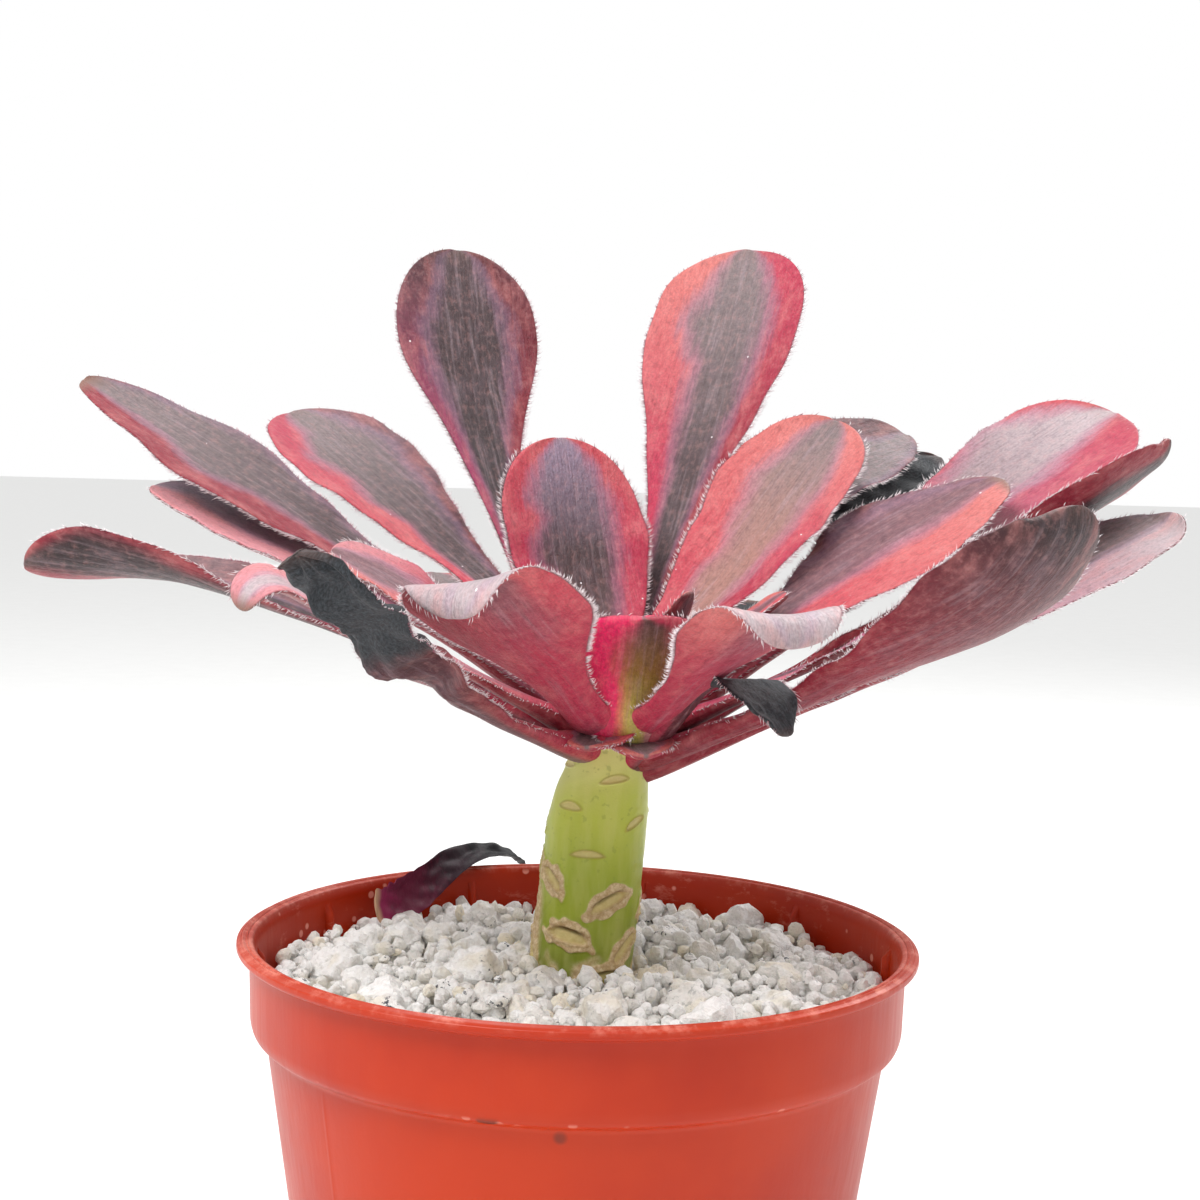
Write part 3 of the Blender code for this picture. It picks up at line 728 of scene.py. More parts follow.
def stemFlesh():
    made, tree, shader = startMaterial("stemFlesh", {
        "Roughness": 0.45, "Subsurface Weight": 0.2, "Subsurface Scale": 0.0025,
        "Subsurface Radius": (0.8, 1.0, 0.3)})
    where = placeOf(tree)
    up = addNode(tree, "SeparateXYZ", {0: where}).outputs[2]
    drift = times(tree, worked(tree, "SUBTRACT", noisy(tree, stretched(
        tree, where, (1, 1, 0.35)), 110.0, 3.0), 0.5), 0.018)
    level = plus(tree, up, drift)
    flesh = mixed(tree, ranged(tree, level, 0.086, 0.1), tone(112, 124, 22), tone(158, 176, 44))
    flesh = mixed(tree, ranged(tree, level, 0.1, 0.112), flesh, tone(190, 200, 72))
    flesh = mixed(tree, ranged(tree, level, 0.111, 0.121), flesh, tone(222, 224, 132))
    flesh = mixed(tree, ranged(tree, level, 0.1225, 0.1255), flesh, tone(176, 44, 70))
    flesh = mixed(tree, ranged(tree, noisy(tree, stretched(tree, where, (1, 1, 0.2)), 420.0, 4.0),
                               0.4, 0.7, 0.0, 0.28), flesh, tone(214, 214, 130))
    flesh = mixed(tree, ranged(tree, noisy(tree, where, 900.0, 2.0), 0.62, 0.72, 0.0, 0.3),
                  flesh, tone(120, 140, 40))
    grain = noisy(tree, where, 1300.0, 5.0, 0.7)
    corky = mixed(tree, ranged(tree, grain, 0.35, 0.7), tone(186, 158, 112), tone(226, 208, 168))
    colour = mixed(tree, ranged(tree, attribute(tree, "cork"), 0.15, 0.7), flesh, corky)
    colour = mixed(tree, times(tree, attribute(tree, "seat"), 0.85), colour,
                   mixed(tree, grain, tone(202, 184, 110), tone(224, 212, 150)))
    colour = mixed(tree, times(tree, attribute(tree, "rim"), 0.5), colour,
                   tone(158, 124, 66))
    colour = mixed(tree, times(tree, attribute(tree, "slit"), 0.8), colour,
                   tone(92, 66, 36))
    tree.links.new(colour, shader.inputs["Base Color"])
    tree.links.new(ranged(tree, attribute(tree, "cork"), 0.1, 0.8, 0.38, 0.75),
                   shader.inputs["Roughness"])
    bumped(tree, shader, grain, 0.00012, 0.5)
    return made


addPiece("stem", makeStem(), [stemFlesh()], ["stem"])

# leaves

print("leaves")
palette = dict(
    salmon=(222, 122, 116), coral=(212, 78, 90), rose=(196, 42, 78), hotPink=(240, 16, 96),
    crimson=(150, 14, 44), wine=(96, 20, 36), plum=(84, 38, 48), lilac=(190, 104, 132),
    lavender=(160, 140, 162), ash=(138, 124, 124), slate=(76, 60, 62), umber=(88, 58, 56),
    coal=(44, 34, 36), orchid=(172, 50, 100), olive=(150, 112, 40), lime=(196, 184, 80),
    pearl=(204, 188, 192), ink=(24, 25, 29), blush=(226, 146, 154), fawn=(176, 128, 116),
    mauve=(132, 90, 98))

leafGrid = dict(rows=120, around=56, crowding=1.35, inset=4.0, thickBase=5.6, thickBlade=1.5)
hairs = dict(spacing=0.2, length=1.0, radius=0.085, forward=0.4, droop=0.25)
usualLeaf = dict(
    reach=7.0, baseTurn=0, sway=0, lift=0, curl=0, curlFrom=0.75, roll=0, twist=0, neck=0.2,
    wideAt=0.8, swell=1.8, tip=2.2, cup=28, hook=0, hookFrom=0.93, wave=0.35, crumple=0, dry=0,
    dryFrom=0.25, dryTip=0.2, turn=0, turnFrom=0.5, stripe=0.5, shift=0.0,
    centre="umber slate ash", minus="rose rose salmon", plus="rose rose salmon",
    under="crimson crimson wine", underBand="wine plum slate", hairy=1.0, slot="leaf")

# Each starts beside the stem at a height and a reach from its axis (mm), rises at an
# angle, and bends by lift along its length and by curl near its tip (degrees). The
# colours run from base to tip; minus and plus are the two margins, and plus is the
# right one seen from the stem. Stripe is the dark band's half width, as a share.
leaves = {
    "leaf_back_left_tall": dict(
        azimuth=130, sway=-28, rise=43, lift=24, length=91, width=25.5, height=127.4, swell=2.6,
        baseTurn=-9, stripe=0.6, shift=-0.02, centre="slate coal slate", minus="rose orchid plum",
        plus="crimson crimson wine"),
    "leaf_back_right_tall": dict(
        azimuth=67, sway=-7, rise=50, lift=12, length=89, width=29, height=129.2, baseTurn=17,
        stripe=0.47, shift=0.03, centre="slate slate ash", minus="hotPink rose salmon",
        plus="crimson crimson rose", tip=2.6),
    "leaf_back_centre": dict(
        azimuth=113, rise=58, lift=12, length=39.5, width=24.5, height=133.4, reach=5.6,
        wideAt=0.6, neck=0.34, swell=0.55, baseTurn=22, shift=0.02, centre="umber slate lavender",
        minus="hotPink rose coral", plus="rose rose coral"),
    "leaf_back_right_broad": dict(
        azimuth=38, rise=45, length=57.5, width=23.5, height=131.6, wideAt=0.74, lift=2, reach=5,
        neck=0.42, swell=1.1, roll=-20, stripe=0.45, shift=0.05, centre="fawn fawn ash",
        minus="rose coral salmon", plus="crimson rose salmon"),
    "leaf_behind_right": dict(
        azimuth=50, rise=55, lift=-43, length=82, width=18, height=126.9, sway=-10, roll=-30,
        neck=0.3, baseTurn=-1, stripe=0.6, centre="coal slate ash", minus="crimson crimson plum",
        plus="wine plum slate", shift=0.35),
    "leaf_behind_right_withered": dict(
        azimuth=50, rise=53, lift=-50, length=88, width=13, height=123.8, wideAt=0.86, curl=20,
        sway=-15, roll=-30, crumple=1.5, dry=0.75, centre="slate slate ink",
        minus="wine slate ink", plus="wine slate ink", under="wine slate ink", hairy=0.3,
        slot="withered_leaf"),
    "leaf_right_pointed": dict(
        azimuth=10, rise=33.5, lift=-2, length=65, width=26, height=128.8, wideAt=0.66, tip=1.1,
        roll=-22, stripe=0.42, shift=-0.4, centre="slate mauve mauve", minus="crimson plum mauve",
        plus="rose coral salmon", dryTip=1.0),
    "leaf_right_long": dict(
        azimuth=17, rise=33.2, lift=-1, length=94, width=28, height=124.2, wideAt=0.85, roll=-22,
        neck=0.16, shift=-0.35, centre="slate mauve pearl", minus="crimson rose coral",
        plus="rose lilac rose"),
    "leaf_right_crimson": dict(
        azimuth=3, rise=27.6, lift=6.5, length=93, width=16, height=122.4, roll=30, tip=1.15,
        wideAt=0.86, neck=0.15, hook=50, hookFrom=0.95, centre="mauve slate slate",
        plus="rose crimson crimson", under="crimson crimson crimson", underBand="wine slate coal",
        shift=-0.2),
    "leaf_right_low": dict(
        azimuth=359, rise=22.2, lift=9, length=89, width=21, height=118.9, wideAt=0.84, roll=-18,
        hook=40, hookFrom=0.95, shift=-0.5, centre="slate slate ash", minus="orchid slate slate",
        plus="lilac lilac pearl"),
    "leaf_right_cupped": dict(
        azimuth=332, rise=21, lift=10, length=78, width=28, height=120.9, wideAt=0.76, twist=30,
        cup=45, curl=35, curlFrom=0.65, tip=1.8, neck=0.17, stripe=0.6, hook=30,
        minus="rose lilac pearl", plus="rose lilac pearl", under="crimson crimson coal",
        underBand="crimson crimson coal", shift=0.1),
    "leaf_right_short": dict(
        azimuth=343, rise=25, length=60, width=15, height=124.5, centre="mauve slate mauve",
        minus="rose lilac lilac", plus="rose lilac blush"),
    "leaf_left_long": dict(
        azimuth=170, rise=31, lift=-1, length=94, width=20, height=128.3, roll=22, tip=1.15,
        stripe=0.62, shift=0.34, centre="slate slate ash", minus="crimson crimson crimson",
        plus="wine wine plum", dryTip=1.0, wideAt=0.74),
    "leaf_left_under": dict(
        azimuth=174, rise=32.2, lift=-11, length=75, width=20.5, height=125.8, wideAt=0.78,
        roll=13, stripe=0.4, shift=0.3, centre="mauve lilac lavender", minus="lilac blush blush",
        plus="crimson lilac lavender"),
    "leaf_left_upper": dict(
        azimuth=147, rise=37.5, lift=-7, length=73, width=26, height=130.9, wideAt=0.78, roll=14,
        baseTurn=3, stripe=0.52, shift=0.16, centre="slate slate ash", minus="hotPink coral rose",
        plus="crimson plum mauve"),
    "leaf_left_small": dict(
        azimuth=194, rise=30, lift=-3, length=43, width=16, height=130.5, wideAt=0.72, roll=20,
        stripe=0.45, centre="slate mauve mauve", minus="rose coral salmon",
        plus="rose rose blush"),
    "leaf_left_far": dict(
        azimuth=192, rise=26, lift=-3, length=86, width=17, height=122.8, wideAt=0.84, curl=-21,
        curlFrom=0.35, roll=22, turn=-58, turnFrom=0.55, cup=65, stripe=0.45,
        centre="coal coal coal", minus="rose rose rose", plus="rose mauve ash",
        under="rose crimson crimson", underBand="wine coal coal", shift=-0.35),
    "leaf_left_hooked": dict(
        azimuth=214, rise=26.4, lift=-4, length=62, width=12, height=124.7, curl=-95,
        curlFrom=0.86, roll=20, neck=0.3, baseTurn=-5, stripe=0.35, centre="mauve blush pearl",
        minus="rose blush blush", plus="rose blush blush", dryTip=1.0),
    "leaf_left_blackened": dict(
        azimuth=231, rise=15, lift=22, length=67, width=18, height=121.8, curl=12, curlFrom=0.6,
        wideAt=0.76, baseTurn=-9, crumple=3.2, dry=1.0, centre="mauve ink ink",
        minus="rose blush ink", plus="rose blush ink", under="rose wine ink",
        underBand="mauve plum ink", slot="withered_leaf", dryFrom=0.5),
    "leaf_front_left": dict(
        azimuth=241, rise=29, lift=5, length=50, width=26, height=125.6, wideAt=0.66, curl=-130,
        curlFrom=0.84, roll=-12, neck=0.26, baseTurn=6, stripe=0.3, centre="mauve mauve pearl",
        minus="rose pearl pearl", plus="rose pearl pearl", under="rose rose coral",
        underBand="rose rose mauve", hairy=1.3, shift=-0.25),
    "leaf_front_right": dict(
        azimuth=299, rise=27.5, lift=2, length=48, width=22, height=125.4, wideAt=0.75, curl=-130,
        curlFrom=0.84, neck=0.26, stripe=0.35, centre="mauve mauve pearl",
        minus="rose pearl pearl", plus="rose pearl pearl", under="rose rose salmon",
        underBand="rose rose mauve", hairy=1.3),
    "leaf_front_withered": dict(
        azimuth=314, rise=42, length=34, width=11, height=122.6, wideAt=0.7, curl=-110,
        curlFrom=0.35, reach=7.6, crumple=2.6, dry=0.9, centre="mauve slate ash",
        minus="rose slate ash", plus="rose slate slate", under="rose slate slate",
        slot="withered_leaf", hairy=0.5, dryFrom=0.35),
    "leaf_low_back_right": dict(
        azimuth=68, rise=18, length=64, width=20, height=120, plus="rose crimson coral",
        dryTip=1.0, dry=0.8, dryFrom=0.6),
    "leaf_low_back": dict(
        azimuth=86, rise=22, length=72, width=20, height=123.5),
    "leaf_low_back_left": dict(
        azimuth=118, rise=17, length=66, width=20, height=124, minus="rose lilac coral"),
    "leaf_low_left": dict(
        azimuth=136, rise=10, length=50, width=18, height=121.5, centre="umber plum mauve"),
    "leaf_heart_front": dict(
        azimuth=280, rise=60, length=18, width=24, height=127.6, wideAt=0.58, neck=0.35, reach=9.5,
        stripe=0.28, centre="lime olive umber", minus="salmon blush hotPink",
        plus="hotPink hotPink hotPink", under="hotPink hotPink hotPink",
        underBand="lime olive umber", slot="heart_leaf", shift=-0.12,
        underOther="blush blush rose", hairy=1.2),
    "leaf_heart_right": dict(
        azimuth=2, rise=38, length=25, width=10, height=130.3, wideAt=0.7, reach=6,
        centre="mauve mauve mauve", minus="rose coral salmon", plus="rose coral coral",
        slot="heart_leaf"),
    "leaf_heart_point": dict(
        azimuth=330, rise=62, length=15, width=8, height=133, wideAt=0.6, tip=1.4, reach=4.6,
        centre="rose mauve mauve", slot="heart_leaf"),
    "leaf_heart_left": dict(
        azimuth=200, rise=62, length=15, width=9, height=133, wideAt=0.6, tip=1.6, reach=4.6,
        centre="rose coral mauve", slot="heart_leaf"),
    "leaf_stub_right": dict(
        azimuth=290, rise=-12, length=8.5, width=10.5, height=123.8, wideAt=0.4,
        under="crimson rose rose", underBand="crimson rose coral", hairy=0.8, reach=5.5, neck=0.7),
    "leaf_stub_left": dict(
        azimuth=252, rise=-8, length=8.0, width=10.5, height=124.1, wideAt=0.4,
        under="crimson rose rose", underBand="crimson rose coral", hairy=0.8, reach=5.5, neck=0.7),
}


def halfWidth(leaf, along):
    # Narrow at the neck, widest at wideAt, rounded off to the tip, flared at the foot.
    swelling = ease((np.clip(along, 0, leaf["wideAt"]) / leaf["wideAt"]) ** leaf["swell"])
    beyond = np.clip((along - leaf["wideAt"]) / (1 - leaf["wideAt"]), 0, 1)
    rounding = np.sqrt(np.clip(1 - beyond ** leaf["tip"], 0, 1))
    body = leaf["width"] / 2 * (leaf["neck"] + (1 - leaf["neck"]) * swelling) * rounding
    return body + 1.5 * np.exp(-np.clip(along, 0, 1) * leaf["length"] / 9.0)


def leafSpine(leaf, start, steps=240):
    # Heading angles along the leaf, summed into its middle line, with the directions
    # across it and away from its upper face.
    along = np.linspace(start, 1, steps + 1)
    inside = np.clip(along, 0, 1)
    bent = ease((inside - leaf["curlFrom"]) / (1 - leaf["curlFrom"]))
    hooked = ease((inside - leaf["hookFrom"]) / (1 - leaf["hookFrom"]))
    azimuth = np.radians(leaf["azimuth"] + leaf["sway"] * inside ** 1.5)
    rise = np.radians(leaf["rise"] + leaf["lift"] * inside + leaf["curl"] * bent
                      + leaf["hook"] * hooked)
    turned = ease((inside - leaf["turnFrom"]) / (1 - leaf["turnFrom"]))
    roll = np.radians(leaf["roll"] * ease(inside / 0.4) + leaf["twist"] * inside
                      + leaf["turn"] * turned)
    ahead = np.stack([np.cos(rise) * np.cos(azimuth), np.cos(rise) * np.sin(azimuth),
                      np.sin(rise)], axis=1)
    normal = np.stack([-np.sin(rise) * np.cos(azimuth), -np.sin(rise) * np.sin(azimuth),
                       np.cos(rise)], axis=1)
    side = np.cross(ahead, normal)
    spans = np.diff(along)[:, None] * leaf["length"]
    middle = np.vstack([np.zeros(3), np.cumsum((ahead[1:] + ahead[:-1]) / 2 * spans, axis=0)])
    atBase = readAlong(0.0, along, middle)
    facing = np.radians(leaf["azimuth"] + leaf["baseTurn"])
    base = np.array([*stemAxis(leaf["height"]), leaf["height"]]) + leaf["reach"] * np.array(
        [np.cos(facing), np.sin(facing), 0.0])
    middle = middle - atBase + base
    cos, sin = np.cos(roll)[:, None], np.sin(roll)[:, None]
    return along, middle, side * cos + normal * sin, normal * cos - side * sin


def bladePoints(leaf, seed, spine, along, across, proud):
    # across runs -1 to 1 over the blade, and proud is the height off its middle sheet.
    line, middle, side, normal = spine
    at, sideways, upward = (readAlong(along, line, track) for track in (middle, side, normal))
    cup = np.radians(leaf["cup"]) * (1 - 0.35 * np.clip(along, 0, 1))
    flat = np.stack([across * leaf["width"] / 2, along * leaf["length"]], -1)
    margin = np.stack([along * leaf["length"], np.sign(across) * 40.0], -1)
    reach = halfWidth(leaf, along) * (1 + 0.025 * ripple(margin, 14.0, seed) * np.abs(across))
    out = reach * np.sin(cup * across) / cup
    up = reach * (1 - np.cos(cup * across)) / cup
    grown = ease(along / 0.35)
    up = up + grown * (0.3 * ripple(flat, 26.0, seed + 1)
                       + leaf["wave"] * np.abs(across) ** 3 * ripple(margin, 9.0, seed + 2))
    relief = 0.045 * ripple(flat * (1.0, 0.06), 1.5, seed + 3, 10)
    channel = 0.5 * hump(across, 0.4) * (1 - ease(along / 0.6)) * (proud > 0)
    if leaf["crumple"]:
        shrunk = ease((along - 0.3) / 0.4) * leaf["crumple"]
        up = up + shrunk * (0.9 * ripple(flat, 16.0, seed + 4) + 0.2 * ripple(flat, 6.0, seed + 5))
        out = out + 0.4 * shrunk * ripple(flat, 14.0, seed + 6)
        relief = relief + 0.05 * shrunk * ripple(flat, 2.6, seed + 7)
    level = proud + relief - channel
    tilt = cup * across
    outward = out - level * np.sin(tilt)
    lifted = up + level * np.cos(tilt)
    return at + sideways * outward[..., None] + upward * lifted[..., None]


def tonesAlong(names, along):
    # Three named colours, for the leaf's base, middle and tip.
    stops = np.array([linear(palette[name]) for name in names.split()])
    return readAlong(np.clip(along, 0, 1), (0.05, 0.5, 0.95), stops)


def hairPoints(leaf, seed, spine):
    # Soft hairs stand off both margins: small three-sided cones bent towards the tip.
    dice = np.random.default_rng(seed)
    samples, tiny = 900, 1e-9
    along = np.linspace(0.04, 0.999, samples)
    roots, aheads, outs, ups = [], [], [], []
    for sign in (-1.0, 1.0):
        edge = bladePoints(leaf, seed, spine, along, np.full(samples, sign), np.zeros(samples))
        tangent = unit(np.gradient(edge, axis=0), tiny)
        facing = readAlong(along, spine[0], spine[3])
        out = unit(np.cross(tangent, facing) * sign, tiny)
        length = np.concatenate([[0], np.cumsum(np.linalg.norm(np.diff(edge, axis=0), axis=1))])
        count = int(length[-1] / hairs["spacing"] * leaf["hairy"])
        place = np.sort(dice.uniform(0, length[-1], count) * 0.5
                        + np.linspace(0, length[-1], count) * 0.5)
        for found, track in ((roots, edge), (aheads, tangent), (outs, out), (ups, facing)):
            found.append(readAlong(place, length, track))
    root, ahead, out, up = (np.vstack(track) for track in (roots, aheads, outs, ups))
    count = len(root)
    scatter = dice.normal(0, 0.18, (count, 3))
    heading = unit(out + hairs["forward"] * ahead + scatter)
    length = hairs["length"] * dice.uniform(0.55, 1.25, (count, 1))
    bow = (ahead * 0.35 + up * dice.normal(0, hairs["droop"], (count, 1))) * length
    across = unit(np.cross(heading, up), tiny)
    over = np.cross(heading, across)
    turn = evenTurns(3)[None, :, None]
    circle = np.cos(turn) * across[:, None] + np.sin(turn) * over[:, None]
    foot = root - heading * 0.25
    knee = root + heading * length * 0.5 + bow * 0.25
    end = root + heading * length + bow
    points = np.concatenate([
        foot[:, None] + circle * hairs["radius"], knee[:, None] + circle * hairs["radius"] * 0.6,
        end[:, None]], axis=1)
    step, onward = np.arange(3), np.array([1, 2, 0])
    quads = np.stack([step, onward, onward + 3, step + 3], -1)
    caps = np.vstack([np.stack([step + 3, onward + 3, np.full(3, 6)], -1), [[2, 1, 0]]])
    first = (np.arange(count) * 7)[:, None, None]
    share = np.tile([0, 0, 0, 0.55, 0.55, 0.55, 1.0], count)
    return (points.reshape(-1, 3), (quads + first).reshape(-1, 4), (caps + first).reshape(-1, 3),
            share)


def makeLeaf(name, leaf, seed, finishes):
    rows, around = leafGrid["rows"], leafGrid["around"]
    start = -leafGrid["inset"] / leaf["length"]
    spine = leafSpine(leaf, start)
    down = np.linspace(0, 1, rows)
    along = start + (0.9985 - start) * (1 - (1 - down) ** leafGrid["crowding"])
    turn = evenTurns(around)
    along, turn = np.meshgrid(along, turn, indexing="ij")
    across, over = np.cos(turn), np.sin(turn)
    reach = halfWidth(leaf, along)
    thick = (leafGrid["thickBase"] + (leafGrid["thickBlade"] - leafGrid["thickBase"])
             * ease(along / 0.45) ** 0.7) * reach / (reach + 1.0)
    proud = thick / 2 * np.sign(over) * np.abs(over) ** 0.8
    points = bladePoints(leaf, seed, spine, along, across, proud).reshape(-1, 3)
    ends = bladePoints(leaf, seed, spine, np.array([start, 1.0]), np.zeros(2), np.zeros(2))
    skin = np.vstack([points, ends])
    quads, caps = loftFaces(rows, around)
    hairSkin, hairQuads, hairCaps, hairShare = hairPoints(leaf, seed, spine)
    hairQuads, hairCaps = hairQuads + len(skin), hairCaps + len(skin)
    mesh = meshFrom(name, np.vstack([skin, hairSkin]), quads, hairQuads, caps, hairCaps)
    kinds = np.concatenate([np.full(len(part), kind) for part, kind in (
        (quads, 0), (hairQuads, 1), (caps, 0), (hairCaps, 1))]).astype(np.int32)
    mesh.polygons.foreach_set("material_index", kinds)

    def full(values, tail):
        # The blade's values, its two ends' and a zero for each point of the hairs.
        return np.concatenate([values.ravel(), tail, np.zeros(len(hairSkin))])

    where = full(along, [start, 1.0])
    sideShare = full(across, [0, 0])
    upper = full((over > -1e-6).astype(float), [1, 1])
    slow = 0.12 * np.interp(where, np.linspace(0, 1, 12),
                            np.random.default_rng(seed).normal(0, 1, 12))
    border = np.abs(sideShare - leaf["shift"] - 0.3 * slow) - leaf["stripe"] * (
        1 - 0.25 * ease((where - 0.8) / 0.2)) + slow * 0.4
    centre, minus, plus, under, band = (tonesAlong(leaf[key], where) for key in (
        "centre", "minus", "plus", "under", "underBand"))
    margin = np.where(sideShare[:, None] < leaf["shift"], minus, plus)
    if "underOther" in leaf:
        other = tonesAlong(leaf["underOther"], where)
        under = np.where(sideShare[:, None] < leaf["shift"], other, under)
    isUpper = upper[:, None]
    addColours(mesh, "centreTone", centre * isUpper + band * (1 - isUpper))
    addColours(mesh, "marginTone", margin * isUpper + under * (1 - isUpper))
    addValues(mesh, "border", border)
    addValues(mesh, "upper", upper)
    addValues(mesh, "dry", leaf["dry"] * ease((where - leaf["dryFrom"]) / 0.3))
    addValues(mesh, "brown", leaf["dryTip"] * ease((where - 0.955) / 0.045))
    addValues(mesh, "hairShare", np.concatenate([np.zeros(len(skin)), hairShare]))
    flat = np.stack([0.5 + sideShare * halfWidth(leaf, where) / 200,
                     0.1 + where * leaf["length"] / 200], -1)
    corner = np.empty(len(mesh.loops), np.int32)
    mesh.loops.foreach_get("vertex_index", corner)
    mesh.uv_layers.new(name="blade").uv.foreach_set(
        "vector", flat[corner].astype(np.float32).ravel())
    addValues(mesh, "leafShift", np.full(len(mesh.vertices), seed * 0.37))
    addPiece(name, mesh, finishes, [name])


def leafFlesh():
    made, tree, shader = startMaterial("leafFlesh", {
        "Roughness": 0.5, "Specular IOR Level": 0.38, "Sheen Weight": 0.06,
        "Sheen Roughness": 0.5, "Subsurface Weight": 0.1, "Subsurface Scale": 0.001,
        "Sheen Tint": (1.0, 0.9, 0.94, 1.0), "Subsurface Radius": (1.0, 0.35, 0.3)})
    blade = addNode(tree, "UVMap", uv_map="blade").outputs[0]
    shiftBy = addNode(tree, "CombineXYZ", {0: attribute(tree, "leafShift"),
                                           1: attribute(tree, "leafShift"),
                                           2: attribute(tree, "upper")}).outputs[0]
    place = addNode(tree, "VectorMath", {0: blade, 1: shiftBy}, operation="ADD").outputs[0]
    streaks = noisy(tree, stretched(tree, place, (240.0, 16.0, 3.0)), 1.0, 5.0, 0.6)
    fineStreaks = noisy(tree, stretched(tree, place, (700.0, 30.0, 3.0)), 1.0, 3.0, 0.6)
    blotches = noisy(tree, stretched(tree, place, (60.0, 28.0, 3.0)), 1.0, 4.0, 0.55)
    grain = noisy(tree, stretched(tree, place, (560.0, 400.0, 3.0)), 1.0, 5.0, 0.75)
    mottle = noisy(tree, stretched(tree, place, (190.0, 130.0, 3.0)), 1.0, 4.0, 0.65)
    streaky = times(tree, worked(tree, "SUBTRACT", streaks, 0.5), 0.3)
    blotchy = times(tree, worked(tree, "SUBTRACT", blotches, 0.5), 0.35)
    border = plus(tree, attribute(tree, "border"), plus(tree, streaky, blotchy))
    outer = worked(tree, "POWER", ranged(tree, border, -0.26, 0.26), 1.6)
    centre = attribute(tree, "centreTone", "Color")
    centre = stained(tree, centre, streaks, 0.46, 0.74, 0.34, 188, 166, 174)
    # painted sheen: the dark centre lightened toward pale mauve in broad blotches
    centre = stained(tree, centre, blotches, 0.45, 0.7, 0.2, 140, 118, 130)
    centre = mixed(tree, ranged(tree, fineStreaks, 0.5, 0.72, 0.0, 0.35), centre,
                   mixed(tree, 1.0, centre, tone(140, 112, 122), "MULTIPLY"))
    margin = attribute(tree, "marginTone", "Color")
    margin = stained(tree, margin, blotches, 0.42, 0.7, 0.3, 238, 150, 146)
    margin = mixed(tree, ranged(tree, fineStreaks, 0.5, 0.75, 0.0, 0.3), margin,
                   mixed(tree, 1.0, margin, tone(190, 110, 130), "MULTIPLY"))
    colour = mixed(tree, outer, centre, margin)
    # painted sheen: a lavender band laid on the upper face where the dark centre meets the margin
    seam = times(tree, times(tree, outer, worked(
        tree, "SUBTRACT", 1.0, outer)), times(tree, attribute(tree, "upper"), 0.8))
    colour = mixed(tree, seam, colour, tone(182, 152, 190))
    colour = stained(tree, colour, grain, 0.36, 0.64, 0.26, 66, 24, 32)
    colour = stained(tree, colour, mottle, 0.45, 0.75, 0.2, 226, 164, 160)
    colour = stained(tree, colour, mottle, 0.5, 0.3, 0.26, 60, 26, 34)
    # dry, blackened parts and brown tips
    dry = attribute(tree, "dry")
    withered = mixed(tree, ranged(tree, grain, 0.35, 0.75), tone(20, 22, 26), tone(72, 78, 84))
    crisp = plus(tree, dry, times(tree, worked(
        tree, "SUBTRACT", blotches, 0.5), 0.6))
    colour = mixed(tree, ranged(tree, crisp, 0.35, 0.75), colour, withered)
    colour = mixed(tree, attribute(tree, "brown"), colour, mixed(
        tree, grain, tone(92, 60, 54), tone(168, 128, 112)))
    # grains of dust on the upper faces
    dots = cells(tree, stretched(tree, place, (60.0, 60.0, 3.0)), 1.0)
    size = ranged(tree, chanceOf(tree, dots, 2), 0.0, 1.0, 0.02, 0.055)
    dot = worked(tree, "LESS_THAN", dots.outputs["Distance"], size)
    dot = times(tree, times(tree, dot, attribute(tree, "upper")),
                 worked(tree, "GREATER_THAN", chanceOf(tree, dots, 0), 0.72))
    colour = mixed(tree, dot, colour, tone(244, 236, 238))
    tree.links.new(colour, shader.inputs["Base Color"])
    tree.links.new(ranged(tree, plus(tree, times(tree, grain, 0.5), dry),
                          0.0, 1.4, 0.36, 0.68), shader.inputs["Roughness"])
    height = plus(tree, times(tree, streaks, 1.2), times(tree, dot, 2.0))
    height = plus(tree, times(tree, grain, 0.7), height)
    height = plus(tree, height, times(tree, mottle, 1.1))
    bumped(tree, shader, height, 0.00034, 0.7)
    return made


def leafHair():
    made, tree, shader = startMaterial("leafHair", {"Roughness": 0.5})
    share = attribute(tree, "hairShare")
    colour = mixed(tree, ranged(tree, share, 0.05, 0.6), tone(150, 72, 92), tone(250, 240, 242))
    tree.links.new(colour, shader.inputs["Base Color"])
    return made


leafFinishes = [leafFlesh(), leafHair()]
for number, (leafName, values) in enumerate(leaves.items()):
    makeLeaf(leafName, {**usualLeaf, **values}, 100 + 10 * number, leafFinishes)

# fallen leaf: a dried strip arched over the rim

print("fallen leaf")
fallenLeaf = dict(
    route=((-34.0, 26.0, 88.0), (-31.0, 31.5, 89.2), (-27.0, 37.5, 91.2), (-23.0, 43.5, 93.2),
           (-17.5, 50.0, 94.0), (-13.0, 54.5, 92.9), (-10.5, 57.5, 90.6)),
    widths=(8.0, 7.6, 6.4, 5.2, 4.4, 3.6, 2.2), rows=150, around=40, thick=0.5,
    lean=(-74, -22))


def smoothLine(stops, at):
    # A Catmull-Rom curve through the stops.
    stops = np.asarray(stops, float).reshape(len(stops), -1)
    padded = np.vstack([2 * stops[0] - stops[1], stops, 2 * stops[-1] - stops[-2]])
    span = np.clip(at * (len(stops) - 1), 0, len(stops) - 1.0001)
    index = span.astype(int)
    f = (span - index)[:, None]
    a, b, c, d = (padded[index + k] for k in range(4))
    return 0.5 * (2 * b + (c - a) * f + (2 * a - 5 * b + 4 * c - d) * f ** 2
                  + (3 * b - a - 3 * c + d) * f ** 3)


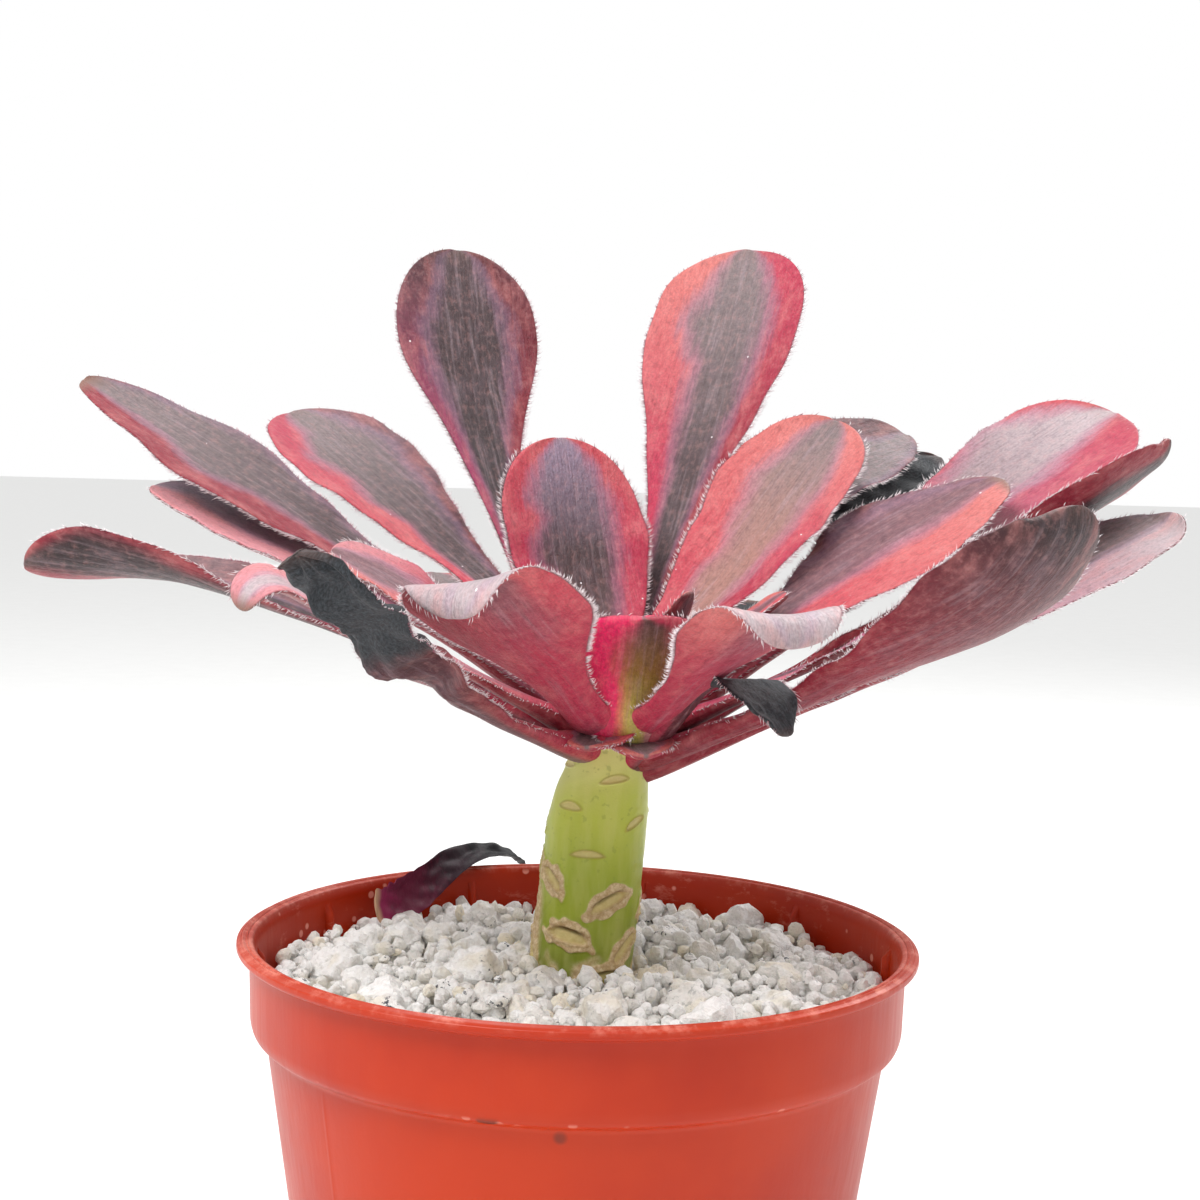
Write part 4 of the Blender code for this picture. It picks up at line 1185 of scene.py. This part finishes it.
def makeFallenLeaf():
    rows, around = fallenLeaf["rows"], fallenLeaf["around"]
    share = np.linspace(0, 1, rows)
    middle = smoothLine(fallenLeaf["route"], share)
    width = smoothLine(fallenLeaf["widths"], share)[:, 0]
    ahead = unit(np.gradient(middle, axis=0))
    side = unit(np.cross(ahead, [0, 0, 1.0]))
    up = np.cross(side, ahead)
    first, last = fallenLeaf["lean"]
    lean = np.radians(first + (last - first) * ease((share - 0.3) / 0.4))[:, None]
    side, up = side * np.cos(lean) + up * np.sin(lean), up * np.cos(lean) - side * np.sin(lean)
    turn = evenTurns(around)
    across, over = np.cos(turn)[None, :], np.sin(turn)[None, :]
    reach = (width / 2 * np.sqrt(np.clip(1 - (share - 0.02) ** 14, 0, 1)))[:, None]
    flat = np.stack(np.broadcast_arrays(across * reach, (share * 70)[:, None]), -1)
    ragged = 1 + 0.18 * ripple(flat, 4.0, 51) * hump(share, 0.2)[:, None]
    fold = 0.9 * (across ** 2) * reach * 0.45 + 0.25 * ripple(flat * (1, 0.15), 1.6, 52)
    level = fold + fallenLeaf["thick"] / 2 * over
    out = across * reach * ragged
    points = (middle[:, None] + side[:, None] * out[..., None] + up[:, None] * level[..., None])
    points = points.reshape(-1, 3)
    ends = np.vstack([middle[0] - ahead[0] * 0.3, middle[-1] + ahead[-1] * 0.4])
    mesh = meshFrom("fallenLeaf", np.vstack([points, ends]),
                    *loftFaces(rows, around, turned=True))
    addValues(mesh, "along", np.concatenate([np.repeat(share, around), [0, 1]]))
    return mesh


def driedLeaf():
    made, tree, shader = startMaterial("driedLeaf", {"Roughness": 0.55, "Specular IOR Level": 0.3})
    where = placeOf(tree)
    along = attribute(tree, "along")
    veins = noisy(tree, stretched(tree, where, (1.0, 0.5, 0.6)), 700.0, 5.0, 0.65)
    drift = plus(tree, along, times(tree, worked(
        tree, "SUBTRACT", veins, 0.5), 0.35))
    colour = mixed(tree, ranged(tree, drift, 0.02, 0.2), tone(150, 26, 84), tone(104, 8, 52))
    colour = mixed(tree, ranged(tree, drift, 0.22, 0.5), colour, tone(44, 16, 32))
    colour = mixed(tree, ranged(tree, drift, 0.5, 0.7), colour, tone(20, 20, 24))
    colour = mixed(tree, ranged(tree, along, 0.035, 0.0), colour, tone(206, 168, 136))
    colour = mixed(tree, times(tree, ranged(tree, veins, 0.55, 0.8, 0.0, 0.4),
                               ranged(tree, along, 0.6, 0.3)), colour, tone(120, 60, 88))
    tree.links.new(colour, shader.inputs["Base Color"])
    bumped(tree, shader, veins, 0.00025, 0.7)
    return made


addPiece("fallenLeaf", makeFallenLeaf(), [driedLeaf()], ["fallen_leaf"])

# floor and light

print("floor and light")
studio = dict(floorSize=14.0, floorTone=(246, 246, 245), low=0.34, high=0.95, seen=1.0,
              keyPower=8.5, keyPlace=(-0.45, -0.35, 0.95), keySize=0.6, backPower=4.0,
              backPlace=(0.5, 0.6, 0.8), backSize=0.5)


def addFloor():
    half = studio["floorSize"] / 2 / mm
    corners = np.array([[-half, -half, 0], [half, -half, 0], [half, half, 0], [-half, half, 0]])
    mesh = meshFrom("floor", corners, np.array([[0, 1, 2, 3]]))
    floor = newObject("floor", mesh)
    made, tree, shader = startMaterial("paleFloor", {"Roughness": 0.7})
    speckle = noisy(tree, placeOf(tree), 60.0, 3.0)
    tree.links.new(mixed(tree, speckle, tone(*studio["floorTone"]), tone(252, 252, 251)),
                   shader.inputs["Base Color"])
    mesh.materials.append(made)


def addLight(name, place, power, size):
    data = bpy.data.lights.new(name, "AREA")
    data.shape = "DISK"
    data.energy = power
    data.size = size
    light = newObject(name, data)
    light.location = place
    light.rotation_euler = (Vector((0, 0, 0.13)) - Vector(place)).to_track_quat(
        "-Z", "Y").to_euler()


addFloor()
addLight("key", studio["keyPlace"], studio["keyPower"], studio["keySize"])
addLight("back", studio["backPlace"], studio["backPower"], studio["backSize"])


def addSurround():
    # A soft white room, brighter overhead. The camera sees its walls paler than they light.
    world = bpy.data.worlds.new("surround")
    bpy.context.scene.world = world
    world.use_nodes = True
    tree = world.node_tree
    up = addNode(tree, "SeparateXYZ", {0: addNode(tree, "TexCoord").outputs["Generated"]})
    strength = ranged(tree, up.outputs[2], -0.1, 0.8, studio["low"], studio["high"])
    seen = addNode(tree, "LightPath").outputs["Is Camera Ray"]
    strength = addNode(tree, "Mix", {0: seen, 2: strength, 3: studio["seen"]}).outputs[0]
    tree.nodes["Background"].inputs["Color"].default_value = (1.0, 1.0, 1.0, 1.0)
    tree.links.new(strength, tree.nodes["Background"].inputs["Strength"])


addSurround()
bpy.context.scene.view_settings.view_transform = "Standard"
